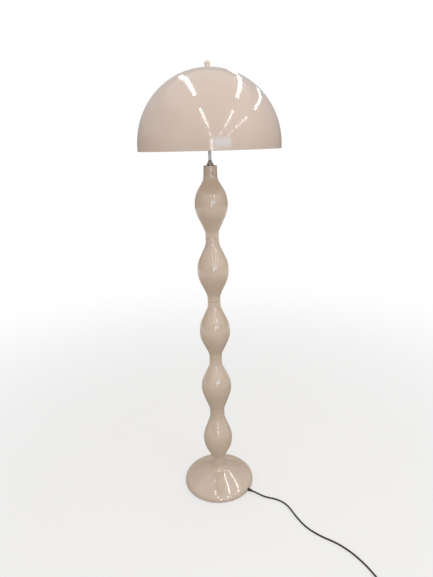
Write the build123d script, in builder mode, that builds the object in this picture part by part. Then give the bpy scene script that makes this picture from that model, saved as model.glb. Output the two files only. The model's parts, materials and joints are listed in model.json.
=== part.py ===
from build123d import *
import os
from math import acos, atan2, cos, degrees, hypot, pi, radians, sin, sqrt, tan

os.makedirs("parts", exist_ok=True)

# Mushroom floor lamp. Millimetres, +Z up, origin on the floor under the lamp's centre line,
# the lamp's front towards -Y.

# Domed base
base_radius = 143.0  # widest radius
edge_height = 6.0  # height of the widest line over the floor
edge_roll = 20.0  # rounding between the crown and the edge
crown_radius = 540.0  # the crown is a shallow arc in section
flare_radius = 26.0  # hollow arc between the crown and the foot's neck
foot_height = 92.0  # joint between base and column
foot_straight = 6.0
base_wall = 4.0
base_top_wall = 8.0  # wall that the spacer pushes on
shell_gap = 1.5  # the shell's lower edge stays off the floor
shell_lip = 2.5  # rounding of that edge

# Column of stacked modules
module_pitch = 240.0
module_count = 5
bulge_radius = 58.3
neck_radius = 24.0
low_neck_radius = 29.0  # the joint over the lowest module is stouter
convex_per_pitch = 0.45  # radius of the arc through the bulge, for each unit of pitch
hollow_per_pitch = 0.2625  # radius of the arc into a neck
neck_straight = 9.0
top_rise = 99.0  # last bulge to the collar's seam
top_flank = 22.0  # straight stretch of the outline under the collar
module_wall = 4.0
module_end_wall = 9.0
spigot_radius = 17.0
spigot_height = 6.0
seam_edge = 0.5  # chamfer of each seam

# Collar, cone and stem
collar_height = 34.0
collar_low_radius = 24.0
collar_top_radius = 23.0
collar_round = 3.0
gasket_radius = 11.5
gasket_thick = 2.5
cone_radius = 12.0
cone_height = 14.0
cone_edge = 1.6  # straight edge at the cone's foot
cone_top_wall = 1.4
cone_hollow_radius = 22.0
tube_radius = 5.0  # the rod in the column and the stem are the same lamp tube
tube_bore = 4.0
rod_in_cone = 7.0

# Shade and finial
stem_show = 34.0  # cone to the shade's rim
shade_radius = 242.0
skirt_height = 12.0
shade_wall = 3.0
shade_edge_round = 0.6
washer_radius = 17.0
washer_thick = 2.0
disc_radius = 30.0
disc_thick = 2.5
finial_washer_radius = 8.6
finial_washer_thick = 1.0
finial_radius = 9.8
finial_foot_radius = 8.4
finial_height = 20.0
finial_waist = 4.0
finial_belly = 12.0
insert_radius = 7.2
insert_height = 11.0
thread_height = 9.0  # stem's end inside the insert

# Lampholders and bulbs
hub_over_rim = 50.0
hub_radius = 21.0
hub_height = 34.0
hub_round = 5.0
boss_radius = 9.0
boss_show = 5.0  # past the hub's side
holder_count = 3
holder_tilt = 25.0
first_holder = 90.0
nipple_radius = 5.0
nipple_start = 17.0
nipple_reach = 33.0
holder_rear_radius = 10.5
holder_radius = 19.5
holder_mouth_radius = 20.5
holder_length = 53.0
holder_floor = 19.0  # solid rear of the holder
holder_rear_length = 4.0
holder_dome_length = 12.0
holder_dome_round = 6.0
holder_rim_length = 10.0
holder_rim_ease = 2.0
socket_play = 0.4  # round the bulb's cap
socket_wall = 0.6
socket_lift = 3.7  # over the holder's floor
contact_radius = 4.0
contact_height = 3.0
cap_radius = 13.1
cap_length = 25.0
cap_wall = 0.8
cap_pip_radius = 4.4
cap_pip = 1.0
cap_insulator_radius = 10.0
cap_insulator_rise = 3.0
cap_taper = 3.0
bulb_radius = 30.0
bulb_length = 105.0
glass_wall = 1.2
glass_play = 0.1  # between the neck and the cap
glass_in_cap = 8.0
glass_shoulder = 50.0  # angle below the ball's middle where the neck leaves it

# What lies inside and under the base
cover_gap = 2.0  # between the cover and the shell's wall
cover_thick = 2.0
felt_margin = 5.0  # of the cover, left bare round the felt
felt_width = 32.0
felt_thick = 2.5
weight_room = 27.0  # between the weight and the shell's wall
weight_thick = 17.0
boss_outer = 38.0
boss_rise = 17.0
boss_taper = 4.0
weight_edge = 1.2
pocket_radius = 27.0
pocket_roof = 8.0
slot_width = 9.0
slot_height = 8.5
spacer_radius = 9.0
screw_count = 3
screw_circle = 80.0
screw_radius = 2.5
screw_head = 5.0
screw_head_height = 1.6
screw_length = 12.0
nut_across = 14.0
nut_height = 5.0
big_washer_radius = 14.0
big_washer_thick = 2.0
rod_past_nut = 3.0

# Mains lead
lead_diameter = 6.4
exit_angle = -33.2  # seen from above, from +X
bush_radius = 5.6
bush_flange_radius = 6.4
bush_tip_radius = 4.2
bush_out = 18.0
bush_in = 6.0
bush_flange = 2.0
lead_bend_room = 0.5  # under the rod
clamp_out = 13.0  # past the weight's edge
clamp_width = 24.0
clamp_length = 9.0
clamp_height = 9.0
clamp_screw_spacing = 16.0
clamp_screw_radius = 1.25
clamp_round = 1.5
lead_out = 22.0  # straight out of the bush

# Foot switch on the lead
switch_x = 512.0
switch_tip_y = -512.0
sleeve_length = 22.0
sleeve_root_radius = 6.0
sleeve_tip_radius = 4.2
sleeve_neck_radius = 4.4  # in the housing's wall
sleeve_in = 5.0
switch_length = 88.0
switch_width = 46.0
switch_corner = 18.0
switch_base_height = 9.0  # the two halves part at the lead's axis
switch_cover_height = 12.0
switch_wall = 2.2
switch_round = 4.0
switch_edge = 1.0
button_round = 2.0
button_radius = 12.0
button_proud = 6.0
button_travel = 3.5
button_flange = 1.6
plunger_radius = 4.0
plunger_length = 3.6
block_length = 40.0
block_width = 22.0
switch_screw_spacing = 64.0
switch_screw_radius = 1.5
switch_post_radius = 3.0
switch_screw_recess = 0.4
switch_screw_depth = 6.0  # in the cover

# Coil of the put-away length, and the plug
coil_gap = 0.6  # between turns and between layers
coil_outer_turn = 45.0
coil_ease = 1.2  # the climbing half turn keeps off its neighbours
coil_half_turns = 5  # in each layer
coil_end_ease = 4.0  # the last quarter turn runs out past the others
tail_straight = 7.0
tail_fall = 32.0
plug_fall = 32.0
plug_width = 35.0
plug_rear_width = 15.0
plug_thick = 13.6
plug_length = 36.0
plug_taper = 15.0
plug_round = 2.5
plug_sleeve_length = 22.0
plug_sleeve_radius = 5.6
pin_spacing = 19.0
pin_radius = 2.0
pin_length = 19.0
pin_in = 6.0
pin_core_radius = 1.5
pin_sleeve_length = 10.0

# Clearances
slip = 0.3  # pieces that slide past or into each other
seat = 0.15  # fixed pieces in their seats

# Levels that follow
seam_levels = [foot_height + module_pitch * k for k in range(module_count)]
last_bulge = seam_levels[-1] + module_pitch / 2
collar_level = last_bulge + top_rise
gasket_level = collar_level + collar_height
cone_level = gasket_level + gasket_thick
rim_level = cone_level + cone_height + stem_show
crown_centre = rim_level + skirt_height
shade_top = crown_centre + shade_radius
convex_radius = convex_per_pitch * module_pitch
hollow_radius = hollow_per_pitch * module_pitch
top_drop = bulge_radius - neck_radius
top_arcs = (top_rise**2 + top_drop**2 - top_flank**2) / (2 * top_drop)  # their radii together
top_hollow_radius = top_arcs - convex_radius
wall_inside = base_radius - base_wall
cover_radius = wall_inside - cover_gap
felt_outer = cover_radius - felt_margin
felt_inner = felt_outer - felt_width
weight_radius = wall_inside - weight_room
clamp_at = weight_radius + clamp_out
cover_level = felt_thick
weight_level = cover_level + cover_thick
boss_level = weight_level + weight_thick + boss_rise
pocket_level = boss_level - pocket_roof
nut_level = pocket_level - big_washer_thick - nut_height
rod_foot = nut_level - rod_past_nut
rod_top = cone_level + rod_in_cone
lead_radius = lead_diameter / 2
exit_height = weight_level + lead_radius + slip
lead_bend = rod_foot - exit_height - lead_bend_room
hub_level = rim_level + hub_over_rim
tube_hole = tube_radius + slip
boss_reach = hub_radius + boss_show
socket_bore = cap_radius + socket_play
glass_neck_radius = cap_radius - cap_wall - glass_play
lead_on_floor = lead_radius + 0.1
coil_pitch = lead_diameter + coil_gap
plug_axis_height = plug_thick / 2 + seat


def save(piece, name):
    piece.part.label = name
    export_step(piece.part, f"parts/{name}.step")


def ring(piece_level, outer, inner, height):
    """A washer or sleeve round the lamp's centre line."""
    with BuildPart() as made:
        with BuildSketch(Plane.XY.offset(piece_level)):
            Circle(outer)
            Circle(inner, mode=Mode.SUBTRACT)
        extrude(amount=height)
    return made


def hex_nut(level, across, bore, height):
    with BuildPart() as made:
        with BuildSketch(Plane.XY.offset(level)):
            RegularPolygon(across / 2, 6, major_radius=False)
            Circle(bore, mode=Mode.SUBTRACT)
        extrude(amount=height)
    return made


# Base shell. In section a hollow arc, the crown and the rolled edge run into each other:
# the crown's centre is where its arc touches the other two.
flare_at = Vector(neck_radius + flare_radius, foot_height - foot_straight)
roll_at = Vector(base_radius - edge_roll, edge_height)
flare_reach = crown_radius + flare_radius
roll_reach = crown_radius - edge_roll
between = roll_at - flare_at
along = (flare_reach**2 - roll_reach**2 + between.length**2) / (2 * between.length)
aside = sqrt(flare_reach**2 - along**2)
unit = between.normalized()
crown_at = flare_at + unit * along + Vector(unit.Y, -unit.X) * aside
flare_slope = degrees(atan2(flare_at.X - crown_at.X, flare_at.Y - crown_at.Y))
roll_slope = degrees(atan2(roll_at.X - crown_at.X, roll_at.Y - crown_at.Y))


def base_curve(inset):
    """Hollow, crown and rolled edge, set in from the outside by inset."""
    centre = (flare_at.X, flare_at.Y)
    CenterArc(centre, flare_radius + inset, 180, 90 - flare_slope)
    centre = (crown_at.X, crown_at.Y)
    CenterArc(centre, crown_radius - inset, 90 - flare_slope, flare_slope - roll_slope)
    centre = (roll_at.X, roll_at.Y)
    CenterArc(centre, edge_roll - inset, 90 - roll_slope, roll_slope - 90)


exit_plane = Plane.XY.rotated((0, 0, exit_angle))
notch_plane = Plane(
    origin=exit_plane.x_dir * (base_radius - edge_roll) + Vector(0, 0, exit_height),
    x_dir=exit_plane.y_dir,
    z_dir=exit_plane.x_dir,
)
with BuildPart() as base_shell:
    with BuildSketch(Plane.XZ):
        with BuildLine():
            base_curve(0)
            Polyline(
                (neck_radius, flare_at.Y),
                (neck_radius, foot_height),
                (0, foot_height),
                (0, foot_height - base_top_wall),
                (neck_radius - base_wall, foot_height - base_top_wall),
                (neck_radius - base_wall, flare_at.Y),
            )
            base_curve(base_wall)
            Polyline(
                (base_radius - base_wall, edge_height),
                (base_radius - base_wall, shell_gap),
                (base_radius - shell_lip, shell_gap),
            )
            Line((base_radius, edge_height), (base_radius, shell_gap + shell_lip))
            lip_centre = (base_radius - shell_lip, shell_gap + shell_lip)
            CenterArc(lip_centre, shell_lip, 0, -90)
        make_face()
    revolve(axis=Axis.Z)
    with BuildSketch(Plane.XY.offset(foot_height)):
        Circle(spigot_radius)
    extrude(amount=spigot_height)
    with BuildSketch(Plane.XY.offset(foot_height - base_top_wall)):
        Circle(tube_hole)
    extrude(amount=base_top_wall + spigot_height, mode=Mode.SUBTRACT)
    with BuildSketch(notch_plane):
        Circle(bush_radius + seat)
        with Locations((0, -exit_height / 2)):
            Rectangle(2 * (bush_radius + seat), exit_height)
    extrude(amount=edge_roll + shell_lip, mode=Mode.SUBTRACT)
save(base_shell, "base_shell")


# Column modules: moulded shells whose outline is an arc through the bulge, a straight flank
# and a hollow arc into each neck.
def half_wave(bulge_level, neck_level, neck, straight, hollow, inset):
    """Half a module's outline, from its bulge up or down to a neck, set in by inset."""
    side = 1 if neck_level > bulge_level else -1
    convex_x = bulge_radius - convex_radius
    hollow_x = neck + hollow
    hollow_level = neck_level - side * straight
    run = hollow_x - convex_x
    rise = abs(hollow_level - bulge_level)
    turn = atan2(rise, run) - acos((convex_radius + hollow) / hypot(run, rise))
    outer = convex_radius - inset
    inner = hollow + inset
    CenterArc((convex_x, bulge_level), outer, 0, side * degrees(turn))
    start = (convex_x + outer * cos(turn), bulge_level + side * outer * sin(turn))
    end = (hollow_x - inner * cos(turn), hollow_level - side * inner * sin(turn))
    Line(start, end)
    CenterArc((hollow_x, hollow_level), inner, 180 + side * degrees(turn), -side * degrees(turn))
    if straight > 0:
        Line((neck - inset, hollow_level), (neck - inset, neck_level))
    return neck - inset


def module_outline(number, inset):
    """Draws the closed half section of a module, set in by inset."""
    low = seam_levels[number]
    bulge = low + module_pitch / 2
    last = number == module_count - 1
    low_neck = low_neck_radius if number == 1 else neck_radius
    high_neck = low_neck_radius if number == 0 else neck_radius
    high = collar_level if last else low + module_pitch
    high_straight = 0 if last else neck_straight
    high_hollow = top_hollow_radius if last else hollow_radius
    end_low = half_wave(bulge, low, low_neck, neck_straight, hollow_radius, inset)
    end_high = half_wave(bulge, high, high_neck, high_straight, high_hollow, inset)
    Polyline((end_low, low), (0, low), (0, high), (end_high, high))
    return low, high


for number in range(module_count):
    with BuildPart() as module:
        with BuildSketch(Plane.XZ):
            with BuildLine():
                low, high = module_outline(number, 0)
            make_face()
        revolve(axis=Axis.Z)
        chamfer(module.edges().group_by(Axis.Z)[0] + module.edges().group_by(Axis.Z)[-1], seam_edge)
        with BuildSketch(Plane.XZ):
            with BuildLine():
                module_outline(number, module_wall)
            make_face()
            cavity = high - low - 2 * module_end_wall - spigot_height
            with Locations((0, low + spigot_height + module_end_wall + cavity / 2)):
                Rectangle(2 * bulge_radius, cavity, mode=Mode.INTERSECT)
        revolve(axis=Axis.Z, mode=Mode.SUBTRACT)
        with BuildSketch(Plane.XY.offset(high)):
            Circle(spigot_radius)
        extrude(amount=spigot_height)
        with BuildSketch(Plane.XY.offset(low)):
            Circle(spigot_radius + seat)
        extrude(amount=spigot_height + seat, mode=Mode.SUBTRACT)
        with BuildSketch(Plane.XY.offset(low)):
            Circle(tube_hole)
        extrude(amount=high - low + spigot_height, mode=Mode.SUBTRACT)
    save(module, f"column_module_{number + 1}")

with BuildPart() as collar:
    with BuildSketch(Plane.XZ):
        Polygon(
            (0, collar_level),
            (collar_low_radius, collar_level),
            (collar_top_radius, gasket_level),
            (0, gasket_level),
            align=None,
        )
    revolve(axis=Axis.Z)
    fillet(collar.edges().sort_by(Axis.Z)[-1], collar_round)
    chamfer(collar.edges().sort_by(Axis.Z)[0], seam_edge)
    with BuildSketch(Plane.XY.offset(collar_level)):
        Circle(spigot_radius + seat)
    extrude(amount=spigot_height + seat, mode=Mode.SUBTRACT)
    with BuildSketch(Plane.XY.offset(collar_level)):
        Circle(tube_hole)
    extrude(amount=collar_height, mode=Mode.SUBTRACT)
save(collar, "top_collar")

save(ring(gasket_level, gasket_radius, tube_hole, gasket_thick), "collar_gasket")

# Chrome cone: a nut with a hollow flank that joins the rod and the stem.
with BuildPart() as cone:
    with BuildSketch(Plane.XZ):
        with BuildLine():
            foot = (cone_radius, cone_level + cone_edge)
            top = (tube_radius + cone_top_wall, cone_level + cone_height)
            RadiusArc(foot, top, -cone_hollow_radius)
            Polyline(top, (0, top[1]), (0, cone_level), (cone_radius, cone_level), foot)
        make_face()
    revolve(axis=Axis.Z)
    with BuildSketch(Plane.XY.offset(cone_level)):
        Circle(tube_radius + seat)
    extrude(amount=cone_height, mode=Mode.SUBTRACT)
save(cone, "cone_nut")

save(ring(rod_foot, tube_radius, tube_bore, rod_top - rod_foot), "column_rod")

# Inside the base
with BuildPart() as weight:
    with BuildSketch(Plane.XY.offset(weight_level)):
        Circle(weight_radius)
    extrude(amount=weight_thick)
    chamfer(weight.edges().group_by(Axis.Z)[-1], weight_edge)
    with BuildSketch(Plane.XY.offset(weight_level)):
        Circle(boss_outer)
    extrude(amount=boss_level - weight_level, taper=boss_taper)
    with BuildSketch(Plane.XY.offset(weight_level)):
        Circle(pocket_radius)
    extrude(amount=pocket_level - weight_level, mode=Mode.SUBTRACT)
    with BuildSketch(exit_plane.offset(weight_level)):
        Rectangle(weight_radius, slot_width, align=(Align.MIN, Align.CENTER))
    extrude(amount=slot_height, mode=Mode.SUBTRACT)
    with BuildSketch(Plane.XY.offset(weight_level)):
        with PolarLocations(screw_circle, screw_count, exit_angle + 180 / screw_count):
            Circle(screw_radius + seat)
    extrude(amount=screw_length, mode=Mode.SUBTRACT)
    with BuildSketch(Plane.XY.offset(weight_level)):
        Circle(tube_hole)
    extrude(amount=boss_level - weight_level, mode=Mode.SUBTRACT)
save(weight, "base_weight")

with BuildPart() as cover:
    with BuildSketch(Plane.XY.offset(cover_level)):
        Circle(cover_radius)
        with PolarLocations(screw_circle, screw_count, exit_angle + 180 / screw_count):
            Circle(screw_radius + seat, mode=Mode.SUBTRACT)
    extrude(amount=cover_thick)
    with BuildSketch(exit_plane.offset(cover_level)):
        with Locations((wall_inside - bush_in - seat, 0)):
            Rectangle(base_radius, 2 * (bush_radius + seat), align=(Align.MIN, Align.CENTER))
    extrude(amount=cover_thick, mode=Mode.SUBTRACT)
save(cover, "base_cover")

save(ring(0, felt_outer, felt_inner, felt_thick), "felt_ring")

with BuildPart() as cover_screws:
    with BuildSketch(Plane.XY.offset(cover_level - screw_head_height)):
        with PolarLocations(screw_circle, screw_count, exit_angle + 180 / screw_count):
            Circle(screw_head)
    extrude(amount=screw_head_height)
    with BuildSketch(Plane.XY.offset(cover_level)):
        with PolarLocations(screw_circle, screw_count, exit_angle + 180 / screw_count):
            Circle(screw_radius)
    extrude(amount=screw_length)
save(cover_screws, "cover_screws")

save(ring(pocket_level - big_washer_thick, big_washer_radius, tube_hole, big_washer_thick), "rod_washer")
save(hex_nut(nut_level, nut_across, tube_radius + seat, nut_height), "rod_nut")
spacer_height = foot_height - base_top_wall - boss_level
save(ring(boss_level, spacer_radius, tube_hole, spacer_height), "base_spacer")

# Bush in the base's notch: a flange inside the wall, and a taper round the lead outside it.
exit_way = exit_plane.x_dir
bush_plane = Plane(origin=Vector(0, 0, exit_height), x_dir=exit_way, z_dir=-exit_plane.y_dir)
bush_tip = base_radius + bush_out
with BuildPart() as bush:
    with BuildSketch(bush_plane):
        Polygon(
            (wall_inside - bush_in, 0),
            (wall_inside - bush_in, bush_radius),
            (base_radius + seat, bush_radius),
            (base_radius + seat, bush_flange_radius),
            (base_radius + bush_flange, bush_flange_radius),
            (bush_tip, bush_tip_radius),
            (bush_tip, 0),
            align=None,
        )
    revolve(axis=Axis(bush_plane.origin, exit_way))
    with BuildSketch(Plane(origin=bush_plane.origin, z_dir=exit_way)):
        Circle(lead_radius + seat)
    extrude(amount=bush_tip, mode=Mode.SUBTRACT)
save(bush, "cord_bush")

clamp_plane = Plane(
    origin=exit_way * clamp_at + Vector(0, 0, weight_level), x_dir=exit_way, z_dir=(0, 0, 1)
)
with BuildPart() as clamp:
    with BuildSketch(clamp_plane):
        Rectangle(clamp_length, clamp_width)
    extrude(amount=clamp_height)
    fillet(clamp.edges().filter_by(Axis.Z), clamp_round)
    with BuildSketch(Plane(origin=bush_plane.origin, z_dir=exit_way)):
        Circle(lead_radius + seat)
    extrude(amount=base_radius, mode=Mode.SUBTRACT)
    with BuildSketch(clamp_plane):
        with GridLocations(1, clamp_screw_spacing, 1, 2):
            Circle(clamp_screw_radius + seat)
    extrude(amount=clamp_height, mode=Mode.SUBTRACT)
save(clamp, "cord_clamp")

with BuildPart() as clamp_screws:
    with BuildSketch(clamp_plane):
        with GridLocations(1, clamp_screw_spacing, 1, 2):
            Circle(clamp_screw_radius)
    extrude(amount=clamp_height)
    with BuildSketch(clamp_plane.offset(clamp_height)):
        with GridLocations(1, clamp_screw_spacing, 1, 2):
            Circle(2 * clamp_screw_radius)
    extrude(amount=screw_head_height)
save(clamp_screws, "clamp_screws")

# Lead inside the lamp: from the bush along the weight's slot, up the rod to the hub.
lead_start = exit_way * bush_tip + Vector(0, 0, exit_height)
with BuildPart() as inner_lead:
    with BuildLine() as inner_path:
        FilletPolyline(
            lead_start,
            Vector(0, 0, exit_height),
            Vector(0, 0, hub_level),
            radius=lead_bend,
        )
    with BuildSketch(Plane(origin=lead_start, z_dir=-exit_way)):
        Circle(lead_radius)
    sweep()
save(inner_lead, "inner_lead")


# Stem with the lampholder hub and the shade's seat
disc_level = crown_centre + sqrt((shade_radius - shade_wall) ** 2 - washer_radius**2)
disc_level -= washer_thick + disc_thick
finial_level = crown_centre + sqrt(shade_radius**2 - tube_hole**2) + finial_washer_thick
stem_foot = rod_top
stem_top = finial_level + thread_height
save(ring(stem_foot, tube_radius, tube_bore, stem_top - stem_foot), "stem_tube")


def turned(azimuth):
    """Plane through the hub's centre whose Y runs out along a tilted lampholder's axis."""
    reach = cos(radians(holder_tilt))
    way = Vector(reach * cos(radians(azimuth)), reach * sin(radians(azimuth)))
    way += Vector(0, 0, sin(radians(holder_tilt)))
    side = Vector(-sin(radians(azimuth)), cos(radians(azimuth)))
    return Plane(origin=(0, 0, hub_level), x_dir=side, z_dir=side.cross(way))


holder_planes = [turned(first_holder + 360 / holder_count * k) for k in range(holder_count)]
hub_foot = hub_level - hub_height / 2
with BuildPart() as hub:
    with BuildSketch(Plane.XY.offset(hub_foot)):
        Circle(hub_radius)
    extrude(amount=hub_height)
    fillet(hub.edges().filter_by(GeomType.CIRCLE), hub_round)
    for plane in holder_planes:
        with BuildSketch(Plane(origin=plane.origin, z_dir=plane.y_dir)):
            Circle(boss_radius)
        extrude(amount=boss_reach)
    for plane in holder_planes:
        with BuildSketch(Plane(origin=plane.origin, z_dir=plane.y_dir).offset(nipple_start)):
            Circle(nipple_radius + seat)
        extrude(amount=boss_reach, mode=Mode.SUBTRACT)
    with BuildSketch(Plane.XY.offset(hub_foot)):
        Circle(tube_hole)
    extrude(amount=hub_height, mode=Mode.SUBTRACT)
save(hub, "lampholder_hub")

with BuildPart() as hub_nuts:
    with BuildSketch(Plane.XY.offset(hub_foot - nut_height)):
        RegularPolygon(nut_across / 2, 6, major_radius=False)
        Circle(tube_radius + seat, mode=Mode.SUBTRACT)
    extrude(amount=nut_height)
    with BuildSketch(Plane.XY.offset(hub_foot + hub_height)):
        RegularPolygon(nut_across / 2, 6, major_radius=False)
        Circle(tube_radius + seat, mode=Mode.SUBTRACT)
    extrude(amount=nut_height)
save(hub_nuts, "hub_nuts")

with BuildPart() as nipples:
    for plane in holder_planes:
        with BuildSketch(Plane(origin=plane.origin, z_dir=plane.y_dir).offset(nipple_start)):
            Circle(nipple_radius)
            Circle(tube_bore, mode=Mode.SUBTRACT)
        extrude(amount=nipple_reach - nipple_start)
save(nipples, "holder_nipples")

holder_mouth = boss_reach + holder_length
dome_start = boss_reach + holder_rear_length
rim_start = holder_mouth - holder_rim_length
socket_start = boss_reach + holder_floor + socket_lift
socket_length = holder_mouth - 2 * seat - socket_start
socket_outer = socket_bore + socket_wall
cap_start = boss_reach + holder_floor + contact_height + slip
cap_end = cap_start + cap_length
bulb_tip = cap_start + bulb_length
bulb_centre = bulb_tip - bulb_radius

for number, plane in enumerate(holder_planes, 1):
    axis = Axis(plane.origin, plane.y_dir)
    with BuildPart() as holder:
        with BuildSketch(plane):
            Polygon(
                (nipple_radius + seat, boss_reach),
                (holder_rear_radius, boss_reach),
                (holder_rear_radius, dome_start),
                (holder_radius, dome_start + holder_dome_length),
                (holder_radius, rim_start - holder_rim_ease),
                (holder_mouth_radius, rim_start),
                (holder_mouth_radius, holder_mouth),
                (socket_outer + seat, holder_mouth),
                (socket_outer + seat, boss_reach + holder_floor),
                (nipple_radius + seat, boss_reach + holder_floor),
                align=None,
            )
        revolve(axis=axis)
    save(holder, f"lampholder_{number}")

    with BuildPart() as socket:
        with BuildSketch(plane):
            with Locations((socket_bore + socket_wall / 2, socket_start + socket_length / 2)):
                Rectangle(socket_wall, socket_length)
        revolve(axis=axis)
    save(socket, f"socket_shell_{number}")

    with BuildPart() as cap:
        with BuildSketch(plane):
            Polygon(
                (0, cap_start),
                (cap_pip_radius, cap_start),
                (cap_pip_radius, cap_start + cap_pip),
                (cap_insulator_radius, cap_start + cap_pip + cap_insulator_rise),
                (cap_radius, cap_start + cap_pip + cap_insulator_rise + cap_taper),
                (cap_radius, cap_end),
                (cap_radius - cap_wall, cap_end),
                (cap_radius - cap_wall, cap_end - glass_in_cap),
                (0, cap_end - glass_in_cap),
                align=None,
            )
        revolve(axis=axis)
    save(cap, f"bulb_cap_{number}")

    with BuildPart() as glass:
        neck_start = cap_end - glass_in_cap
        hip_x = cos(radians(glass_shoulder))
        hip_y = sin(radians(glass_shoulder))
        with BuildSketch(plane):
            with BuildLine():
                for inset in (0, glass_wall):
                    ball = bulb_radius - inset
                    foot = (glass_neck_radius - inset, holder_mouth)
                    hip = (ball * hip_x, bulb_centre - ball * hip_y)
                    CenterArc((0, bulb_centre), ball, -glass_shoulder, 90 + glass_shoulder)
                    Spline(foot, hip, tangents=((0, 1), (hip_y, hip_x)))
                    Line((glass_neck_radius - inset, neck_start), foot)
                Line((glass_neck_radius, neck_start), (glass_neck_radius - glass_wall, neck_start))
                Line((0, bulb_tip - glass_wall), (0, bulb_tip))
            make_face()
        revolve(axis=axis)
    save(glass, f"bulb_glass_{number}")

with BuildPart() as contacts:
    for plane in holder_planes:
        with BuildSketch(Plane(origin=plane.origin, z_dir=plane.y_dir).offset(boss_reach + holder_floor)):
            Circle(2 * contact_radius)
        extrude(amount=contact_height / 2)
        with BuildSketch(Plane(origin=plane.origin, z_dir=plane.y_dir).offset(boss_reach + holder_floor)):
            Circle(contact_radius)
        extrude(amount=contact_height)
save(contacts, "centre_contacts")

# Seat under the crown: nut, dished disc and rubber washer
save(hex_nut(disc_level - nut_height, nut_across, tube_radius + seat, nut_height), "disc_nut")
with BuildPart() as disc:
    with BuildSketch(Plane.XY.offset(disc_level)):
        Circle(disc_radius)
        Circle(tube_hole, mode=Mode.SUBTRACT)
    extrude(amount=disc_thick)
    fillet(disc.edges().group_by(Axis.Z)[0].sort_by(SortBy.RADIUS)[-1], disc_thick - seat)
save(disc, "shade_disc")
save(ring(disc_level + disc_thick, washer_radius, tube_hole, washer_thick), "shade_washer")

# Shade: a thin dome over a short skirt
with BuildPart() as shade:
    with BuildSketch(Plane.XZ):
        with BuildLine():
            for radius in (shade_radius, shade_radius - shade_wall):
                CenterArc((0, crown_centre), radius, 0, 90)
                Line((radius, crown_centre), (radius, rim_level))
            Line((shade_radius, rim_level), (shade_radius - shade_wall, rim_level))
            Line((0, shade_top), (0, shade_top - shade_wall))
        make_face()
    revolve(axis=Axis.Z)
    fillet(shade.edges().group_by(Axis.Z)[0], shade_edge_round)
    with BuildSketch(Plane.XY.offset(crown_centre)):
        Circle(tube_hole)
    extrude(amount=shade_radius + 1, mode=Mode.SUBTRACT)
save(shade, "shade")

finial_washer_level = finial_level - finial_washer_thick
save(ring(finial_washer_level, finial_washer_radius, tube_hole, finial_washer_thick), "finial_washer")

# Finial: a turned knob over a threaded insert
with BuildPart() as insert:
    with BuildSketch(Plane.XY.offset(finial_level)):
        Circle(insert_radius)
        Circle(tube_hole, mode=Mode.SUBTRACT)
    extrude(amount=insert_height)
save(insert, "finial_insert")

with BuildPart() as finial:
    with BuildSketch(Plane.XZ):
        with BuildLine():
            foot = (finial_foot_radius, finial_level)
            waist = (finial_foot_radius, finial_level + finial_waist)
            belly = (finial_radius, finial_level + finial_belly)
            crown = (0, finial_level + finial_height)
            Line(foot, waist)
            Spline(waist, belly, tangents=((0, 1), (0, 1)))
            Spline(belly, crown, tangents=((0, 1), (-1, 0)))
            Polyline(crown, (0, finial_level), foot)
        make_face()
    revolve(axis=Axis.Z)
    with BuildSketch(Plane.XY.offset(finial_level)):
        Circle(insert_radius + seat)
    extrude(amount=insert_height, mode=Mode.SUBTRACT)
save(finial, "finial_knob")


# Lead on the floor, from the base to the foot switch
def route_radii(points):
    """The largest radius that each corner's two runs allow."""
    radii = []
    for before, here, after in zip(points, points[1:], points[2:]):
        arriving = here - before
        leaving = after - here
        shorter = min(arriving.length, leaving.length)
        radii.append(0.45 * shorter / tan(radians(arriving.get_angle(leaving)) / 2))
    return radii


lead_route = [
    lead_start,
    exit_way * (bush_tip + lead_out) + Vector(0, 0, exit_height),
    Vector(181, -117, lead_on_floor),
    Vector(236, -134, lead_on_floor),
    Vector(270, -166, lead_on_floor),
    Vector(292, -224, lead_on_floor),
    Vector(322, -278, lead_on_floor),
    Vector(365, -317, lead_on_floor),
    Vector(418, -349, lead_on_floor),
    Vector(458, -389, lead_on_floor),
    Vector(489, -436, lead_on_floor),
    Vector(506, -473, lead_on_floor),
    Vector(switch_x, switch_tip_y + 2.3 * lead_diameter, switch_base_height),
    Vector(switch_x, switch_tip_y, switch_base_height),
]
lead_radii = route_radii(lead_route)
print("lead radii", [round(radius) for radius in lead_radii])
with BuildPart() as lead_run:
    with BuildLine() as lead_path:
        FilletPolyline(*lead_route, radius=lead_radii)
    with BuildSketch(Plane(origin=lead_start, z_dir=exit_way)):
        Circle(lead_radius)
    sweep()
save(lead_run, "lead_run")
lead_section = pi * lead_radius**2
lead_length = lead_path.wires()[0].length
print("lead run", round(lead_length), "volume ratio", lead_run.part.volume / lead_section / lead_length)

# Foot switch: two shells that part at the lead's axis, a round button and its contact block
switch_start = switch_tip_y - sleeve_length
switch_end = switch_start - switch_length
switch_centre = (switch_start + switch_end) / 2
cover_top = switch_base_height + switch_cover_height
switch_inside = switch_length - 2 * switch_wall
switch_inside_width = switch_width - 2 * switch_wall


def switch_plane(level):
    return Plane(origin=(switch_x, switch_centre, level), x_dir=(0, -1, 0), z_dir=(0, 0, 1))


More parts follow.
